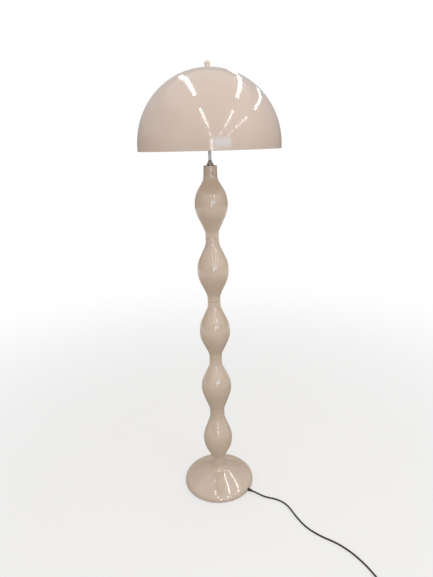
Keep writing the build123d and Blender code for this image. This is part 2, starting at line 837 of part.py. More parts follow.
with BuildPart() as switch_base:
    with BuildSketch(switch_plane(0)):
        RectangleRounded(switch_length, switch_width, switch_corner)
    extrude(amount=switch_base_height)
    chamfer(switch_base.edges().group_by(Axis.Z)[0], switch_edge)
    with BuildSketch(switch_plane(switch_wall)):
        RectangleRounded(switch_inside, switch_inside_width, switch_corner - switch_wall)
        with GridLocations(switch_screw_spacing, 1, 2, 1):
            Circle(switch_post_radius, mode=Mode.SUBTRACT)
    extrude(amount=switch_base_height, mode=Mode.SUBTRACT)
    with BuildSketch(switch_plane(0)):
        with GridLocations(switch_screw_spacing, 1, 2, 1):
            Circle(switch_screw_radius + seat)
    extrude(amount=switch_base_height, mode=Mode.SUBTRACT)
    with BuildSketch(Plane(origin=(switch_x, switch_start, switch_base_height), z_dir=(0, -1, 0))):
        Circle(sleeve_neck_radius + seat)
    extrude(amount=switch_length, mode=Mode.SUBTRACT)
save(switch_base, "switch_base")

with BuildPart() as switch_cover:
    with BuildSketch(switch_plane(switch_base_height)):
        RectangleRounded(switch_length, switch_width, switch_corner)
    extrude(amount=switch_cover_height)
    fillet(switch_cover.edges().group_by(Axis.Z)[-1], switch_round)
    with BuildSketch(switch_plane(switch_base_height)):
        RectangleRounded(switch_inside, switch_inside_width, switch_corner - switch_wall)
    extrude(amount=switch_cover_height - switch_wall, mode=Mode.SUBTRACT)
    with BuildSketch(switch_plane(switch_base_height)):
        with GridLocations(switch_screw_spacing, 1, 2, 1):
            Circle(switch_post_radius)
    extrude(amount=switch_cover_height - switch_wall)
    with BuildSketch(switch_plane(switch_base_height)):
        with GridLocations(switch_screw_spacing, 1, 2, 1):
            Circle(switch_screw_radius + seat)
    extrude(amount=switch_screw_depth, mode=Mode.SUBTRACT)
    with BuildSketch(switch_plane(cover_top)):
        Circle(button_radius + slip)
    extrude(amount=-2 * switch_wall, mode=Mode.SUBTRACT)
    with BuildSketch(Plane(origin=(switch_x, switch_start, switch_base_height), z_dir=(0, -1, 0))):
        Circle(sleeve_neck_radius + seat)
    extrude(amount=switch_length, mode=Mode.SUBTRACT)
save(switch_cover, "switch_cover")

flange_top = cover_top - switch_wall - seat
flange_foot = flange_top - button_flange
with BuildPart() as button:
    with BuildSketch(switch_plane(flange_foot)):
        Circle(button_radius + button_flange)
    extrude(amount=button_flange)
    with BuildSketch(switch_plane(flange_foot)):
        Circle(button_radius)
    extrude(amount=cover_top + button_proud - flange_foot)
    fillet(button.edges().sort_by(Axis.Z)[-1], button_round)
    with BuildSketch(switch_plane(flange_foot - plunger_length)):
        Circle(plunger_radius)
    extrude(amount=plunger_length)
save(button, "switch_button")

block_top = flange_foot - plunger_length - button_travel - slip
with BuildPart() as block:
    with BuildSketch(switch_plane(switch_wall)):
        Rectangle(block_length, block_width)
    extrude(amount=block_top - switch_wall)
    chamfer(block.edges().group_by(Axis.Z)[-1], switch_edge)
save(block, "switch_block")

with BuildPart() as switch_screws:
    with BuildSketch(switch_plane(switch_screw_recess)):
        with GridLocations(switch_screw_spacing, 1, 2, 1):
            Circle(switch_screw_radius)
    extrude(amount=switch_base_height + switch_screw_depth - switch_screw_recess - slip)
save(switch_screws, "switch_screws")


def sleeve(start, way, inside, neck, root, tip, length):
    """Tapered sleeve round the lead, its neck inside the housing and its tip away from it."""
    side = Vector(0, 0, 1).cross(way)
    with BuildPart() as made:
        with BuildSketch(Plane(origin=start, x_dir=way, z_dir=side)):
            Polygon(
                (-inside, 0),
                (-inside, neck),
                (seat, neck),
                (seat, root),
                (length, tip),
                (length, 0),
                align=None,
            )
        revolve(axis=Axis(start, way))
    return made


for name, level, way in (
    ("switch_sleeve_in", switch_start, Vector(0, 1, 0)),
    ("switch_sleeve_out", switch_end, Vector(0, -1, 0)),
):
    root_at = Vector(switch_x, level, switch_base_height)
    made = sleeve(
        root_at, way, sleeve_in, sleeve_neck_radius, sleeve_root_radius, sleeve_tip_radius, sleeve_length
    )
    save(made, name)


# Coil: one tube that spirals in on the floor, climbs a layer in the half turn where the
# spiral turns back, spirals out on top and falls to the plug.
def arc_on(start, end, way):
    """Arc from start to end that leaves along way; gives the way it arrives."""
    made = TangentArc(start, end, tangent=way)
    return made % 1


def fall(start, end, way):
    """Two arcs that lead from one level line to another beside it."""
    middle = (start + end) * 0.5
    arc_on(middle, end, arc_on(start, middle, way))


coil_start_y = switch_end - sleeve_length - tail_straight - tail_fall
coil_x = switch_x - coil_outer_turn
top_layer = lead_on_floor + coil_pitch
turn_radii = [coil_outer_turn - coil_pitch / 2 * k for k in range(coil_half_turns)]
inner_turn = turn_radii[-1] - coil_pitch / 2 - coil_ease
turn_radii.append(inner_turn)
backwards = Vector(0, -1, 0)
forwards = Vector(0, 1, 0)
leftwards = Vector(-1, 0, 0)
tail_from = Vector(switch_x, switch_end - sleeve_length, switch_base_height)
tail_bend = tail_from + backwards * tail_straight
coil_from = Vector(switch_x, coil_start_y, lead_on_floor)
quarter_from = Vector(coil_x + turn_radii[1], coil_start_y, top_layer)
quarter_radius = turn_radii[1] + coil_end_ease
coil_to = quarter_from + (leftwards + backwards) * quarter_radius
plug_bend = coil_to + leftwards * plug_fall + Vector(0, 0, plug_axis_height - top_layer)
plug_tip = plug_bend + leftwards * tail_straight


def half_turns(radii, level):
    """Half circles about the coil's centre, right to left first, from each radius to the next."""
    side = 1
    for first, second in zip(radii, radii[1:]):
        start = Vector(coil_x + side * first, coil_start_y, level)
        end = Vector(coil_x - side * second, coil_start_y, level)
        TangentArc(start, end, tangent=backwards * side)
        side = -side


with BuildPart() as coil:
    with BuildLine() as coil_path:
        Line(tail_from, tail_bend)
        fall(tail_bend, coil_from, backwards)
        half_turns(turn_radii, lead_on_floor)
        climb_from = Vector(coil_x - inner_turn, coil_start_y, lead_on_floor)
        climb_to = Vector(coil_x + inner_turn, coil_start_y, top_layer)
        climb = climb_to - climb_from
        climb_top = climb_from + climb * 0.5 + forwards * (climb.length / 2)
        arc_on(climb_top, climb_to, arc_on(climb_from, climb_top, forwards))
        half_turns(turn_radii[:0:-1], top_layer)
        arc_on(quarter_from, coil_to, backwards)
        fall(coil_to, plug_bend, leftwards)
        Line(plug_bend, plug_tip)
    with BuildSketch(Plane(origin=tail_from, z_dir=backwards)):
        Circle(lead_radius)
    sweep()
save(coil, "lead_coil")

coil_line = coil_path.wires()[0]
coil_length = coil_line.length
samples = 500
spots = [coil_line @ (number / samples) for number in range(samples + 1)]
apart = int(4 * lead_diameter / (coil_length / samples))
least = min(
    (spots[first] - spots[second]).length
    for first in range(samples)
    for second in range(first + apart, samples + 1)
)
print("coil", round(coil_length), "volume ratio", coil.part.volume / lead_section / coil_length)
print("least gap in the coil", round(least - lead_diameter, 2))

# Flat two-pin plug
plug_rear = plug_tip + leftwards * plug_sleeve_length
plug_plane = Plane(origin=plug_rear, x_dir=leftwards, z_dir=(0, 0, 1))
made = sleeve(
    plug_rear,
    -leftwards,
    sleeve_in,
    sleeve_neck_radius,
    plug_sleeve_radius,
    sleeve_tip_radius,
    plug_sleeve_length,
)
save(made, "plug_sleeve")

with BuildPart() as plug:
    with BuildSketch(plug_plane.offset(-plug_thick / 2)):
        Polygon(
            (0, -plug_rear_width / 2),
            (plug_taper, -plug_width / 2),
            (plug_length, -plug_width / 2),
            (plug_length, plug_width / 2),
            (plug_taper, plug_width / 2),
            (0, plug_rear_width / 2),
            align=None,
        )
    extrude(amount=plug_thick)
    fillet(plug.edges().filter_by(Axis.Z), plug_round)
    fillet(plug.edges().group_by(Axis.Z)[0] + plug.edges().group_by(Axis.Z)[-1], plug_round)
    with BuildSketch(Plane(origin=plug_rear, z_dir=leftwards)):
        Circle(sleeve_neck_radius + seat)
    extrude(amount=sleeve_in + seat, mode=Mode.SUBTRACT)
    with BuildSketch(Plane(origin=plug_rear + leftwards * plug_length, x_dir=(0, 1, 0), z_dir=-leftwards)):
        with GridLocations(pin_spacing, 1, 2, 1):
            Circle(pin_core_radius)
    extrude(amount=pin_in, mode=Mode.SUBTRACT)
save(plug, "plug_body")

plug_face = Plane(origin=plug_rear + leftwards * plug_length, x_dir=(0, 1, 0), z_dir=leftwards)
with BuildPart() as pins:
    with BuildSketch(plug_face.offset(-pin_in)):
        with GridLocations(pin_spacing, 1, 2, 1):
            Circle(pin_core_radius)
    extrude(amount=pin_in + pin_length)
    with BuildSketch(plug_face.offset(pin_sleeve_length)):
        with GridLocations(pin_spacing, 1, 2, 1):
            Circle(pin_radius)
    extrude(amount=pin_length - pin_sleeve_length)
    chamfer(pins.faces().sort_by(Axis.X)[:2].edges(), pin_radius / 3)
save(pins, "plug_pins")

with BuildPart() as pin_sleeves:
    with BuildSketch(plug_face):
        with GridLocations(pin_spacing, 1, 2, 1):
            Circle(pin_radius)
            Circle(pin_core_radius, mode=Mode.SUBTRACT)
    extrude(amount=pin_sleeve_length)
save(pin_sleeves, "pin_sleeves")
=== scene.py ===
import bpy
import json
import math
import numpy as np
from mathutils import Matrix, Vector


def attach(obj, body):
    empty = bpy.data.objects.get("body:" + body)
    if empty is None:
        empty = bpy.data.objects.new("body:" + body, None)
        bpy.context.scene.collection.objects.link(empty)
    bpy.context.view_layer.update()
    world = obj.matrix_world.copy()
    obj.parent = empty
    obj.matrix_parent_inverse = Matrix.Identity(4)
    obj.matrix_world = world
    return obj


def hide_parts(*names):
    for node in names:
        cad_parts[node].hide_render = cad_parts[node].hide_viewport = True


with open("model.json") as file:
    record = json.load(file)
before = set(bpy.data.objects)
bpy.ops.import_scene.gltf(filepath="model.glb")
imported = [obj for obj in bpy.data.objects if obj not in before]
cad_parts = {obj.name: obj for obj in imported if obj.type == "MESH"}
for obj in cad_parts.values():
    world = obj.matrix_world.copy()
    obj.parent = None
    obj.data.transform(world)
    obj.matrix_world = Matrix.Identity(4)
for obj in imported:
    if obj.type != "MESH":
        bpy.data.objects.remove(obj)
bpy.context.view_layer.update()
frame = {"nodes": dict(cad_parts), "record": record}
cadNodes = frame["nodes"]
print("lamp: frame loaded,", len(cadNodes), "nodes")


def link(name, data):
    made = bpy.data.objects.new(name, data)
    bpy.context.collection.objects.link(made)
    return made


# coordinates side by side as points
def joined(*axes):
    return np.stack(np.broadcast_arrays(*axes), axis=-1)


# points round the Z axis: x = r cos a, y = r sin a
def around(radius, angles, height):
    return joined(radius * np.cos(angles), radius * np.sin(angles), height)


# the camera stands where the photograph was taken, tipped down and a little to one side
view = dict(place=(0.0105, -1.6006, 1.3732), down=17.77, roll=-1.56, lens=28.08, sensor=36, near=0.01)
camera = link("camera", bpy.data.cameras.new("camera"))
camera.data.lens = view["lens"]
camera.data.sensor_width = view["sensor"]
camera.data.clip_start = view["near"]
camera.matrix_world = (
    Matrix.Translation(view["place"])
    @ Matrix.Rotation(math.radians(90 - view["down"]), 4, "X")
    @ Matrix.Rotation(math.radians(view["roll"]), 4, "Z")
)
bpy.context.scene.camera = camera
bpy.context.scene.view_settings.view_transform = "Standard"


# a lead: one smooth curve through route points, its tube as thick as the lead
def leadCurve(name, points, diameter):
    curve = bpy.data.curves.new(name, "CURVE")
    curve.dimensions = "3D"
    curve.bevel_depth = 1.0  # times each point's radius
    curve.bevel_resolution = 6
    curve.resolution_u = 12
    spline = curve.splines.new("NURBS")
    spline.points.add(len(points) - 1)
    for spot, place in zip(spline.points, points):
        spot.co = (*place, 1)
        spot.radius = diameter / 2
    spline.order_u = 3
    spline.use_endpoint_u = True
    return link(name, curve)


# the free stretch, from the base's bush over the floor to the foot switch
lead = dict(
    diameter=0.0064, runLength=0.594, coilLength=1.233,
    onFloor=0.0033,  # height of its middle
    exitHeight=0.008, exitAngle=-33.2,
    bushTip=0.161, straight=0.022,  # from the lamp's axis, and on past the bush
    switchEnd=(0.512, -0.512, 0.009), level=2.3, inSleeve=0.010,
    route=[
        (0.181, -0.117), (0.236, -0.134), (0.270, -0.166), (0.292, -0.224), (0.322, -0.278),
        (0.365, -0.317), (0.418, -0.349), (0.458, -0.389), (0.489, -0.436), (0.506, -0.473),
    ],
)
exitAngle = math.radians(lead["exitAngle"])
exitWay = np.array([math.cos(exitAngle), math.sin(exitAngle), 0])
exitUp = np.array([0, 0, lead["exitHeight"]])
switchEnd = np.array(lead["switchEnd"])
leadPoints = [
    exitWay * lead["bushTip"] + exitUp,
    exitWay * (lead["bushTip"] + lead["straight"]) + exitUp,
    *[np.array([x, y, lead["onFloor"]]) for x, y in lead["route"]],
    switchEnd + (0, lead["level"] * lead["diameter"], 0),
    switchEnd - (0, lead["inSleeve"], 0),
]
leadRun = leadCurve("leadRun", leadPoints, lead["diameter"])

# the put-away length: a spiral in, a climbing half turn, the spiral out again, and the plug's end
coil = dict(
    start=(0.512, -0.644, 0.009), centre=(0.467, -0.683), pitch=0.007, outer=0.045,
    halfTurns=5, perHalf=9, ease=0.0012, endEase=0.004, endPoints=6,
    leadIn=(0.007, 0.014, 0.031),  # distances of the first points from the start
    leadOut=(0.029, 0.016, 0.007),  # and of the last ones from the plug
    plugTip=(0.424, -0.7285, 0.00695),
)


# half a turn about the coil's centre, clockwise from above: a half circle from one radius to
# the next, x = cx + side (mean cos a + shift), y = cy - side mean sin a, with a smooth climb
def halfTurn(first, second, low, high, side):
    share = np.arange(coil["perHalf"]) / coil["perHalf"]
    mean = (first + second) / 2 / math.cos(math.pi / 2 / coil["perHalf"])
    x = coil["centre"][0] + side * ((first - second) / 2 + mean * np.cos(math.pi * share))
    y = coil["centre"][1] - side * mean * np.sin(math.pi * share)
    z = low + (high - low) * share**2 * (3 - 2 * share)
    return joined(x, y, z)


radii = [coil["outer"] - coil["pitch"] / 2 * k for k in range(coil["halfTurns"])]
radii.append(radii[-1] - coil["pitch"] / 2 - coil["ease"])
lower, upper = lead["onFloor"], lead["onFloor"] + coil["pitch"]
startX, startY, startZ = coil["start"]
off, on, landing = coil["leadIn"]
inwards = [(first, second, lower, lower) for first, second in zip(radii, radii[1:])]
outwards = [(first, second, upper, upper) for first, second in zip(radii[:0:-1], radii[-2:0:-1])]
halves = [*inwards, (radii[-1], radii[-1], lower, upper), *outwards]
turns = [
    [coil["start"], (startX, startY - off, startZ), (startX, startY - on, startZ)],
    [(startX, startY - landing, lower)],
    *[halfTurn(*half, (-1) ** number) for number, half in enumerate(halves)],
]
# the last quarter turn, a little wider, and the fall to the plug
wide = radii[1] + coil["endEase"]
lastAngles = np.linspace(0, math.pi / 2, coil["endPoints"])
lastX = coil["centre"][0] + radii[1] - wide + wide * np.cos(lastAngles)
lastY = coil["centre"][1] - wide * np.sin(lastAngles)
turns.append(joined(lastX, lastY, upper))
tipX, tipY, tipZ = coil["plugTip"]
leave, fall, level = coil["leadOut"]
turns.append([(tipX + leave, tipY, upper), (tipX + fall, tipY, tipZ), (tipX + level, tipY, tipZ)])
turns.append([coil["plugTip"]])
leadCoil = leadCurve("leadCoil", np.concatenate(turns), lead["diameter"])
print("lamp: leads laid")


class Wire:
    # one socket of a node tree; sums and products of wires add Math nodes
    def __init__(self, tree, socket=None):
        self.tree, self.socket = tree, socket

    # any node: its type, its settings, the values or links of its sockets, the output wanted
    def node(self, kind, settings=None, sockets=None, output=0):
        made = self.tree.nodes.new(kind)
        for key, value in (settings or {}).items():
            setattr(made, key, value)
        for key, value in (sockets or {}).items():
            if isinstance(value, Wire):
                self.tree.links.new(value.socket, made.inputs[key])
            else:
                made.inputs[key].default_value = value
        return Wire(self.tree, made.outputs[output])

    def maths(self, operation, first, second):
        return self.node("ShaderNodeMath", {"operation": operation}, {0: first, 1: second})

    def __add__(self, other):
        return self.maths("ADD", self, other)

    __radd__ = __add__

    def __sub__(self, other):
        return self.maths("SUBTRACT", self, other)

    def __rsub__(self, other):
        return self.maths("SUBTRACT", other, self)

    def __mul__(self, other):
        return self.maths("MULTIPLY", self, other)

    __rmul__ = __mul__

    # 0 below low, 1 above high, and a smooth step between
    def step(self, low, high):
        smooth = {"interpolation_type": "SMOOTHSTEP"}
        return self.node("ShaderNodeMapRange", smooth, {"Value": self, "From Min": low, "From Max": high})

    # one colour or another, by this wire; the sockets are the node's factor and two colours
    def blend(self, first, second):
        return self.node("ShaderNodeMix", {"data_type": "RGBA"}, {0: self, 6: first, 7: second}, 2)

    def noise(self, scale, detail=2.0, rough=0.5, stretch=None):
        where = self
        if stretch:
            where = self.node("ShaderNodeMapping", {}, {"Vector": self, "Scale": stretch})
        values = {"Vector": where, "Scale": scale, "Detail": detail, "Roughness": rough}
        return self.node("ShaderNodeTexNoise", {}, values)

    def axis(self, name):
        return self.node("ShaderNodeSeparateXYZ", {}, {0: self}, "XYZ".index(name))


def tint(colour, factor=1.0):
    return (colour[0] * factor, colour[1] * factor, colour[2] * factor, 1)


# a material whose shader has fixed values, and the wire of its Object coordinates
def newMaterial(name, **fixed):
    made = bpy.data.materials.new(name)
    made.use_nodes = True
    tree = made.node_tree
    shader = tree.nodes["Principled BSDF"]
    for socket, value in fixed.items():
        shader.inputs[socket.replace("_", " ")].default_value = value
    spot = Wire(tree).node("ShaderNodeTexCoord", output="Object")
    return made, shader, spot


def feed(shader, **wires):
    for socket, wire in wires.items():
        wire.tree.links.new(wire.socket, shader.inputs[socket.replace("_", " ")])


def bump(height, distance, under=None):
    sockets = {"Height": height, "Distance": distance, "Strength": 1.0}
    if under:
        sockets["Normal"] = under
    return height.node("ShaderNodeBump", {}, sockets)


# what all the glossy mouldings share
gloss = dict(
    cloudEdges=(0.3, 0.7), dullEdges=(0.35, 0.75), facingUp=(0.2, 1.0), fleckEdges=(0.52, 0.8),
    scratchEdges=(0.66, 0.72), dustColour=(0.62, 0.58, 0.52), dustDull=0.08, scratchDull=0.01,
    fleckScale=420, grainScale=700, grain=0.0000015,
)


# glossy moulded plastic: faint clouds in the colour, slow waves in the surface, fine dust on
# what faces up, hairline scratches
def mouldedGloss(name, look):
    made, shader, spot = newMaterial(name, IOR=look["ior"])
    cloud = spot.noise(look["cloudScale"], 4, 0.55)
    fleck = spot.noise(gloss["fleckScale"], 2, 0.6)
    clouded = cloud.step(*gloss["cloudEdges"])
    colour = clouded.blend(tint(look["colour"], look["dark"]), tint(look["light"]))
    normal = spot.node("ShaderNodeNewGeometry", output="Normal")
    faceUp = normal.axis("Z").step(*gloss["facingUp"])
    dust = faceUp * fleck.step(*gloss["fleckEdges"]) * look["dust"]
    colour = dust.blend(colour, tint(gloss["dustColour"]))
    scratch = spot.noise(look["scratchScale"], 1, 0.5, look["scratchStretch"])
    dull = cloud.step(*gloss["dullEdges"]) * look["roughMore"] + dust * gloss["dustDull"]
    rough = look["rough"] + dull + scratch.step(*gloss["scratchEdges"]) * gloss["scratchDull"]
    waves = spot.noise(look["waveScale"], 0, 0.4)
    grain = spot.noise(gloss["grainScale"], 2, 0.5)
    relief = bump(grain, gloss["grain"], bump(waves, look["wave"]))
    feed(shader, Base_Color=colour, Roughness=rough, Normal=relief)
    return made


# drawn, turned or plated metal: streaks along or round the piece, a few dull spots
def metal(name, look):
    made, shader, spot = newMaterial(name, Metallic=look["metallic"])
    streak = spot.noise(look["streakScale"], 3, 0.6, look["streakStretch"])
    spots = spot.noise(look["spotScale"], 3, 0.6).step(*look["spotEdges"])
    colour = spots.blend(tint(look["colour"]), tint(look["colour"], look["spotDark"]))
    rough = look["rough"] + streak * look["roughMore"] + spots * look["spotRough"]
    feed(shader, Base_Color=colour, Roughness=rough, Normal=bump(streak, look["depth"]))
    return made


# rubber, felt, enamel and plain mouldings: a colour with clouds, a grain in the surface
def plain(name, look):
    made, shader, spot = newMaterial(name, **look.get("fixed", {}))
    cloud = spot.noise(look["cloudScale"], 3, 0.6)
    grain = spot.noise(look["grainScale"], 3, 0.6)
    colour = cloud.step(0.3, 0.75).blend(tint(look["colour"]), tint(look["worn"]))
    rough = look["rough"] + grain * look["roughMore"]
    feed(shader, Base_Color=colour, Roughness=rough, Normal=bump(grain, look["depth"]))
    return made


bodyLook = dict(
    colour=(0.640, 0.518, 0.412), light=(0.672, 0.550, 0.442), dark=0.955, cloudScale=9, dust=0.12,
    rough=0.09, roughMore=0.012, ior=1.6, scratchScale=60, scratchStretch=(1, 1, 0.04),
    waveScale=18, wave=0.0002,
)
shadeLook = dict(
    colour=(0.655, 0.535, 0.458), light=(0.685, 0.570, 0.495), dark=0.975, cloudScale=5, dust=0.10,
    rough=0.105, roughMore=0.012, ior=1.5, scratchScale=40, scratchStretch=(1, 0.04, 1),
    waveScale=4, wave=0.0002,
)
finialLook = dict(
    shadeLook, colour=(0.70, 0.60, 0.50), light=(0.76, 0.67, 0.58), waveScale=30, wave=0.00001,
)
chromeLook = dict(
    metallic=0.7, colour=(0.43, 0.435, 0.44), streakScale=700, streakStretch=(1, 1, 0.05),
    spotScale=160, spotEdges=(0.55, 0.75), spotDark=0.8, rough=0.20, roughMore=0.08, spotRough=0.12,
    depth=0.000004,
)
steelLook = dict(
    chromeLook, metallic=1.0, colour=(0.52, 0.53, 0.54), rough=0.28, roughMore=0.15, depth=0.00002,
)
brassLook = dict(steelLook, colour=(0.74, 0.55, 0.26), rough=0.22, spotDark=0.7)
capLook = dict(steelLook, colour=(0.70, 0.70, 0.69), rough=0.25)
ironLook = dict(
    colour=(0.030, 0.030, 0.032), worn=(0.06, 0.055, 0.05), cloudScale=30, grainScale=350,
    rough=0.55, roughMore=0.25, depth=0.0004,
)
coverLook = dict(
    colour=(0.018, 0.018, 0.019), worn=(0.035, 0.033, 0.03), cloudScale=22, grainScale=900,
    rough=0.35, roughMore=0.2, depth=0.00005,
)
feltLook = dict(
    colour=(0.020, 0.020, 0.020), worn=(0.045, 0.043, 0.040), cloudScale=60, grainScale=1400,
    rough=0.95, roughMore=0.05, depth=0.0006, fixed=dict(Sheen_Weight=0.5),
)
rubberLook = dict(
    colour=(0.014, 0.012, 0.011), worn=(0.030, 0.026, 0.023), cloudScale=80, grainScale=1600,
    rough=0.42, roughMore=0.25, depth=0.00004,
)
blackLook = dict(
    colour=(0.013, 0.012, 0.012), worn=(0.022, 0.021, 0.020), cloudScale=60, grainScale=1800,
    rough=0.30, roughMore=0.2, depth=0.00003,
)
sheathLook = dict(
    blackLook, colour=(0.020, 0.014, 0.011), worn=(0.036, 0.027, 0.021), cloudScale=40,
    grainScale=1200, rough=0.34,
)
enamelLook = dict(
    colour=(0.70, 0.67, 0.60), worn=(0.62, 0.58, 0.50), cloudScale=35, grainScale=500,
    rough=0.25, roughMore=0.15, depth=0.00003,
)
holderLook = dict(
    enamelLook, colour=(0.74, 0.71, 0.64), worn=(0.66, 0.62, 0.54), cloudScale=45, grainScale=1500,
    rough=0.38,
)

finishes = dict(
    body_shells=mouldedGloss("beigeGloss", bodyLook),
    shade_acrylic=mouldedGloss("domeAcrylic", shadeLook),
    finial=mouldedGloss("finialGloss", finialLook),
    chromed=metal("satinChrome", chromeLook),
    steel=metal("zincSteel", steelLook),
    weight=plain("castIron", ironLook),
    cover=plain("blackPaint", coverLook),
    felt=plain("blackFelt", feltLook),
    dark_rubber=plain("softRubber", rubberLook),
    lead_sheath=plain("leadSheath", sheathLook),
    black_moulding=plain("blackMoulding", blackLook),
    switch_moulding=plain("switchMoulding", blackLook),
    hub_metal=plain("creamEnamel", enamelLook),
    holder_moulding=plain("holderMoulding", holderLook),
    brass_parts=metal("brass", brassLook),
    cap_metal=metal("spunCap", capLook),
)

# frosted lamp glass: light goes through, the inner side scatters it
bulbLook = dict(
    colour=(0.93, 0.93, 0.90), clouded=0.95, cloudScale=40, rough=0.35, roughMore=0.15, frostScale=500,
    through=0.55, ior=1.45,
)
bulbGlass, glassShader, spot = newMaterial(
    "frostedGlass", Transmission_Weight=bulbLook["through"], IOR=bulbLook["ior"]
)
frost = spot.noise(bulbLook["frostScale"])
cloud = spot.noise(bulbLook["cloudScale"])
feed(
    glassShader,
    Base_Color=cloud.blend(tint(bulbLook["colour"]), tint(bulbLook["colour"], bulbLook["clouded"])),
    Roughness=bulbLook["rough"] + frost * bulbLook["roughMore"],
)
finishes["bulb_glass"] = bulbGlass
print("lamp: finishes made")

# every CAD node starts with the finish of its slot
slotOf = {part["node"]: part["material_slot"] for part in frame["record"]["subparts"]}
bodyOf = {
    node: body
    for body, members in frame["record"]["behaviour"]["bodies"].items()
    for node in members
}
for name, node in cadNodes.items():
    node.data.materials.clear()
    node.data.materials.append(finishes[slotOf[name]])


# shapes are given in millimetres. A skin is a grid of points (rows, columns, 3): its columns
# close round, its rows close too when the section is a loop, and otherwise each end row is
# capped from its middle. Rows that go up and columns that go anticlockwise face outwards
def skin(grid, loop=False):
    rows, columns = grid.shape[:2]
    points = grid.reshape(-1, 3)
    index = np.arange(rows * columns).reshape(rows, columns)
    here = np.concatenate([index, index[:1]]) if loop else index
    beside = np.roll(here, -1, axis=1)
    quads = joined(here[:-1], beside[:-1], beside[1:], here[1:]).reshape(-1, 4)
    if loop:
        return points, quads, np.zeros((0, 3), int)
    points = np.concatenate([points, [grid[0].mean(0), grid[-1].mean(0)]])
    first, last = rows * columns, rows * columns + 1
    low = joined(first, np.roll(index[0], -1), index[0])
    high = joined(last, index[-1], np.roll(index[-1], -1))
    return points, quads, np.concatenate([low, high])


sharpFrom = 38  # degrees between two faces


# grids become one smooth mesh with sharp edges only where they are meant, and the piece takes
# the finish and the body of the CAD node that it stands for
def piece(name, grids, node, loop=True):
    skins = [skin(grid, loop) for grid in grids]
    points = np.concatenate([part[0] for part in skins]) / 1000
    starts = np.cumsum([0] + [len(part[0]) for part in skins])
    quads = np.concatenate([part[1] + start for part, start in zip(skins, starts)])
    triangles = np.concatenate([part[2] + start for part, start in zip(skins, starts)])
    corners = np.concatenate([quads.ravel(), triangles.ravel()])
    sizes = np.concatenate([np.full(len(quads), 4), np.full(len(triangles), 3)])
    mesh = bpy.data.meshes.new(name)
    mesh.vertices.add(len(points))
    mesh.vertices.foreach_set("co", points.astype(np.float32).ravel())
    mesh.loops.add(len(corners))
    mesh.loops.foreach_set("vertex_index", corners.astype(np.int32))
    mesh.polygons.add(len(sizes))
    mesh.polygons.foreach_set("loop_start", (np.cumsum(sizes) - sizes).astype(np.int32))
    mesh.polygons.foreach_set("use_smooth", np.ones(len(sizes), bool))
    mesh.update(calc_edges=True)
    mesh.validate()
    mesh.set_sharp_from_angle(angle=math.radians(sharpFrom))
    settle(link(name, mesh), node)


def settle(made, node):
    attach(made, bodyOf[node])
    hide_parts(node)
    made.data.materials.append(finishes[slotOf[node]])


# section points in a row, without the second of two equal ones
def chain(*parts):
    line = np.concatenate([np.atleast_2d(np.asarray(part, float)) for part in parts])
    return line[np.append(True, np.hypot(*np.diff(line, axis=0).T) > 1e-6)]


# points on an arc about (x, y), from one angle to the other, in degrees
def arc(centre, radius, start, end, steps):
    angles = np.radians(np.linspace(start, end, steps))
    return joined(centre[0] + radius * np.cos(angles), centre[1] + radius * np.sin(angles))


# a section through corners, each rounded by a quadratic curve of its own reach
def rounded(corners, reaches, steps=5):
    corners = np.asarray(corners, float)
    share = np.linspace(0, 1, steps)[:, None]
    out = []
    for number, (corner, reach) in enumerate(zip(corners, reaches)):
        back, on = corners[number - 1] - corner, corners[(number + 1) % len(corners)] - corner
        backFoot = corner + back / np.hypot(*back) * min(reach, 0.45 * np.hypot(*back))
        onFoot = corner + on / np.hypot(*on) * min(reach, 0.45 * np.hypot(*on))
        curve = (1 - share) ** 2 * backFoot + 2 * share * (1 - share) * corner + share**2 * onFoot
        out.append(curve if reach else corner[None])
    return chain(*out)


# a section of radius and height turned about the Z axis
def turn(section, steps=64):
    return around(section[:, :1], np.arange(steps) * 2 * np.pi / steps, section[:, 1:])


# a shape made about the Z axis is laid along another one that starts at a point
def along(grid, start, way):
    way = np.asarray(way, float)
    across = np.cross([0, 0, 1], way)
    across = across / np.linalg.norm(across)
    return np.asarray(start, float) + grid @ np.stack([across, np.cross(way, across), way])


# closed ring with a rectangular section; its corners share one reach or have four
def ringSection(inner, outer, low, high, reach=0.3, steps=4):
    corners = [(inner, low), (outer, low), (outer, high), (inner, high)]
    return rounded(corners, np.broadcast_to(reach, 4), steps)


# base: rolled edge, shallow crown and hollow flare in one run; the centre of the crown's arc is
# where that arc touches the other two
base = dict(
    radius=143, edge=6, roll=20, crown=540, flare=26, foot=92, footStraight=6, wall=4,
    topWall=8, gap=1.5, lip=2.5, neck=24, bevel=0.6, spigot=17, spigotHeight=6, bore=5.3,
    notch=5.75, liftedTo=20, columns=168, columnGap=0.03,
    notchColumns=(0, 1, 2, 3, 4, 4.8, 5.3, 5.6, 5.72, 5.75, 5.77, 6.5, 9),
)
flareAt = np.array([base["neck"] + base["flare"], base["foot"] - base["footStraight"]])
rollAt = np.array([base["radius"] - base["roll"], base["edge"]])
flareReach, rollReach = base["crown"] + base["flare"], base["crown"] - base["roll"]
between = np.hypot(*(rollAt - flareAt))
alongIt = (flareReach**2 - rollReach**2 + between**2) / (2 * between)
aside = math.sqrt(flareReach**2 - alongIt**2)
unit = (rollAt - flareAt) / between
crownAt = flareAt + unit * alongIt + np.array([unit[1], -unit[0]]) * aside
flareSlope = math.degrees(math.atan2(*(flareAt - crownAt)))
rollSlope = math.degrees(math.atan2(*(rollAt - crownAt)))


# edge roll, crown and flare from below, set in from the outside by inset
def baseCurve(inset):
    return chain(
        arc(rollAt, base["roll"] - inset, 0, 90 - rollSlope, 26),
        arc(crownAt, base["crown"] - inset, 90 - rollSlope, 90 - flareSlope, 40)[1:],
        arc(flareAt, base["flare"] + inset, 270 - flareSlope, 180, 26)[1:],
    )


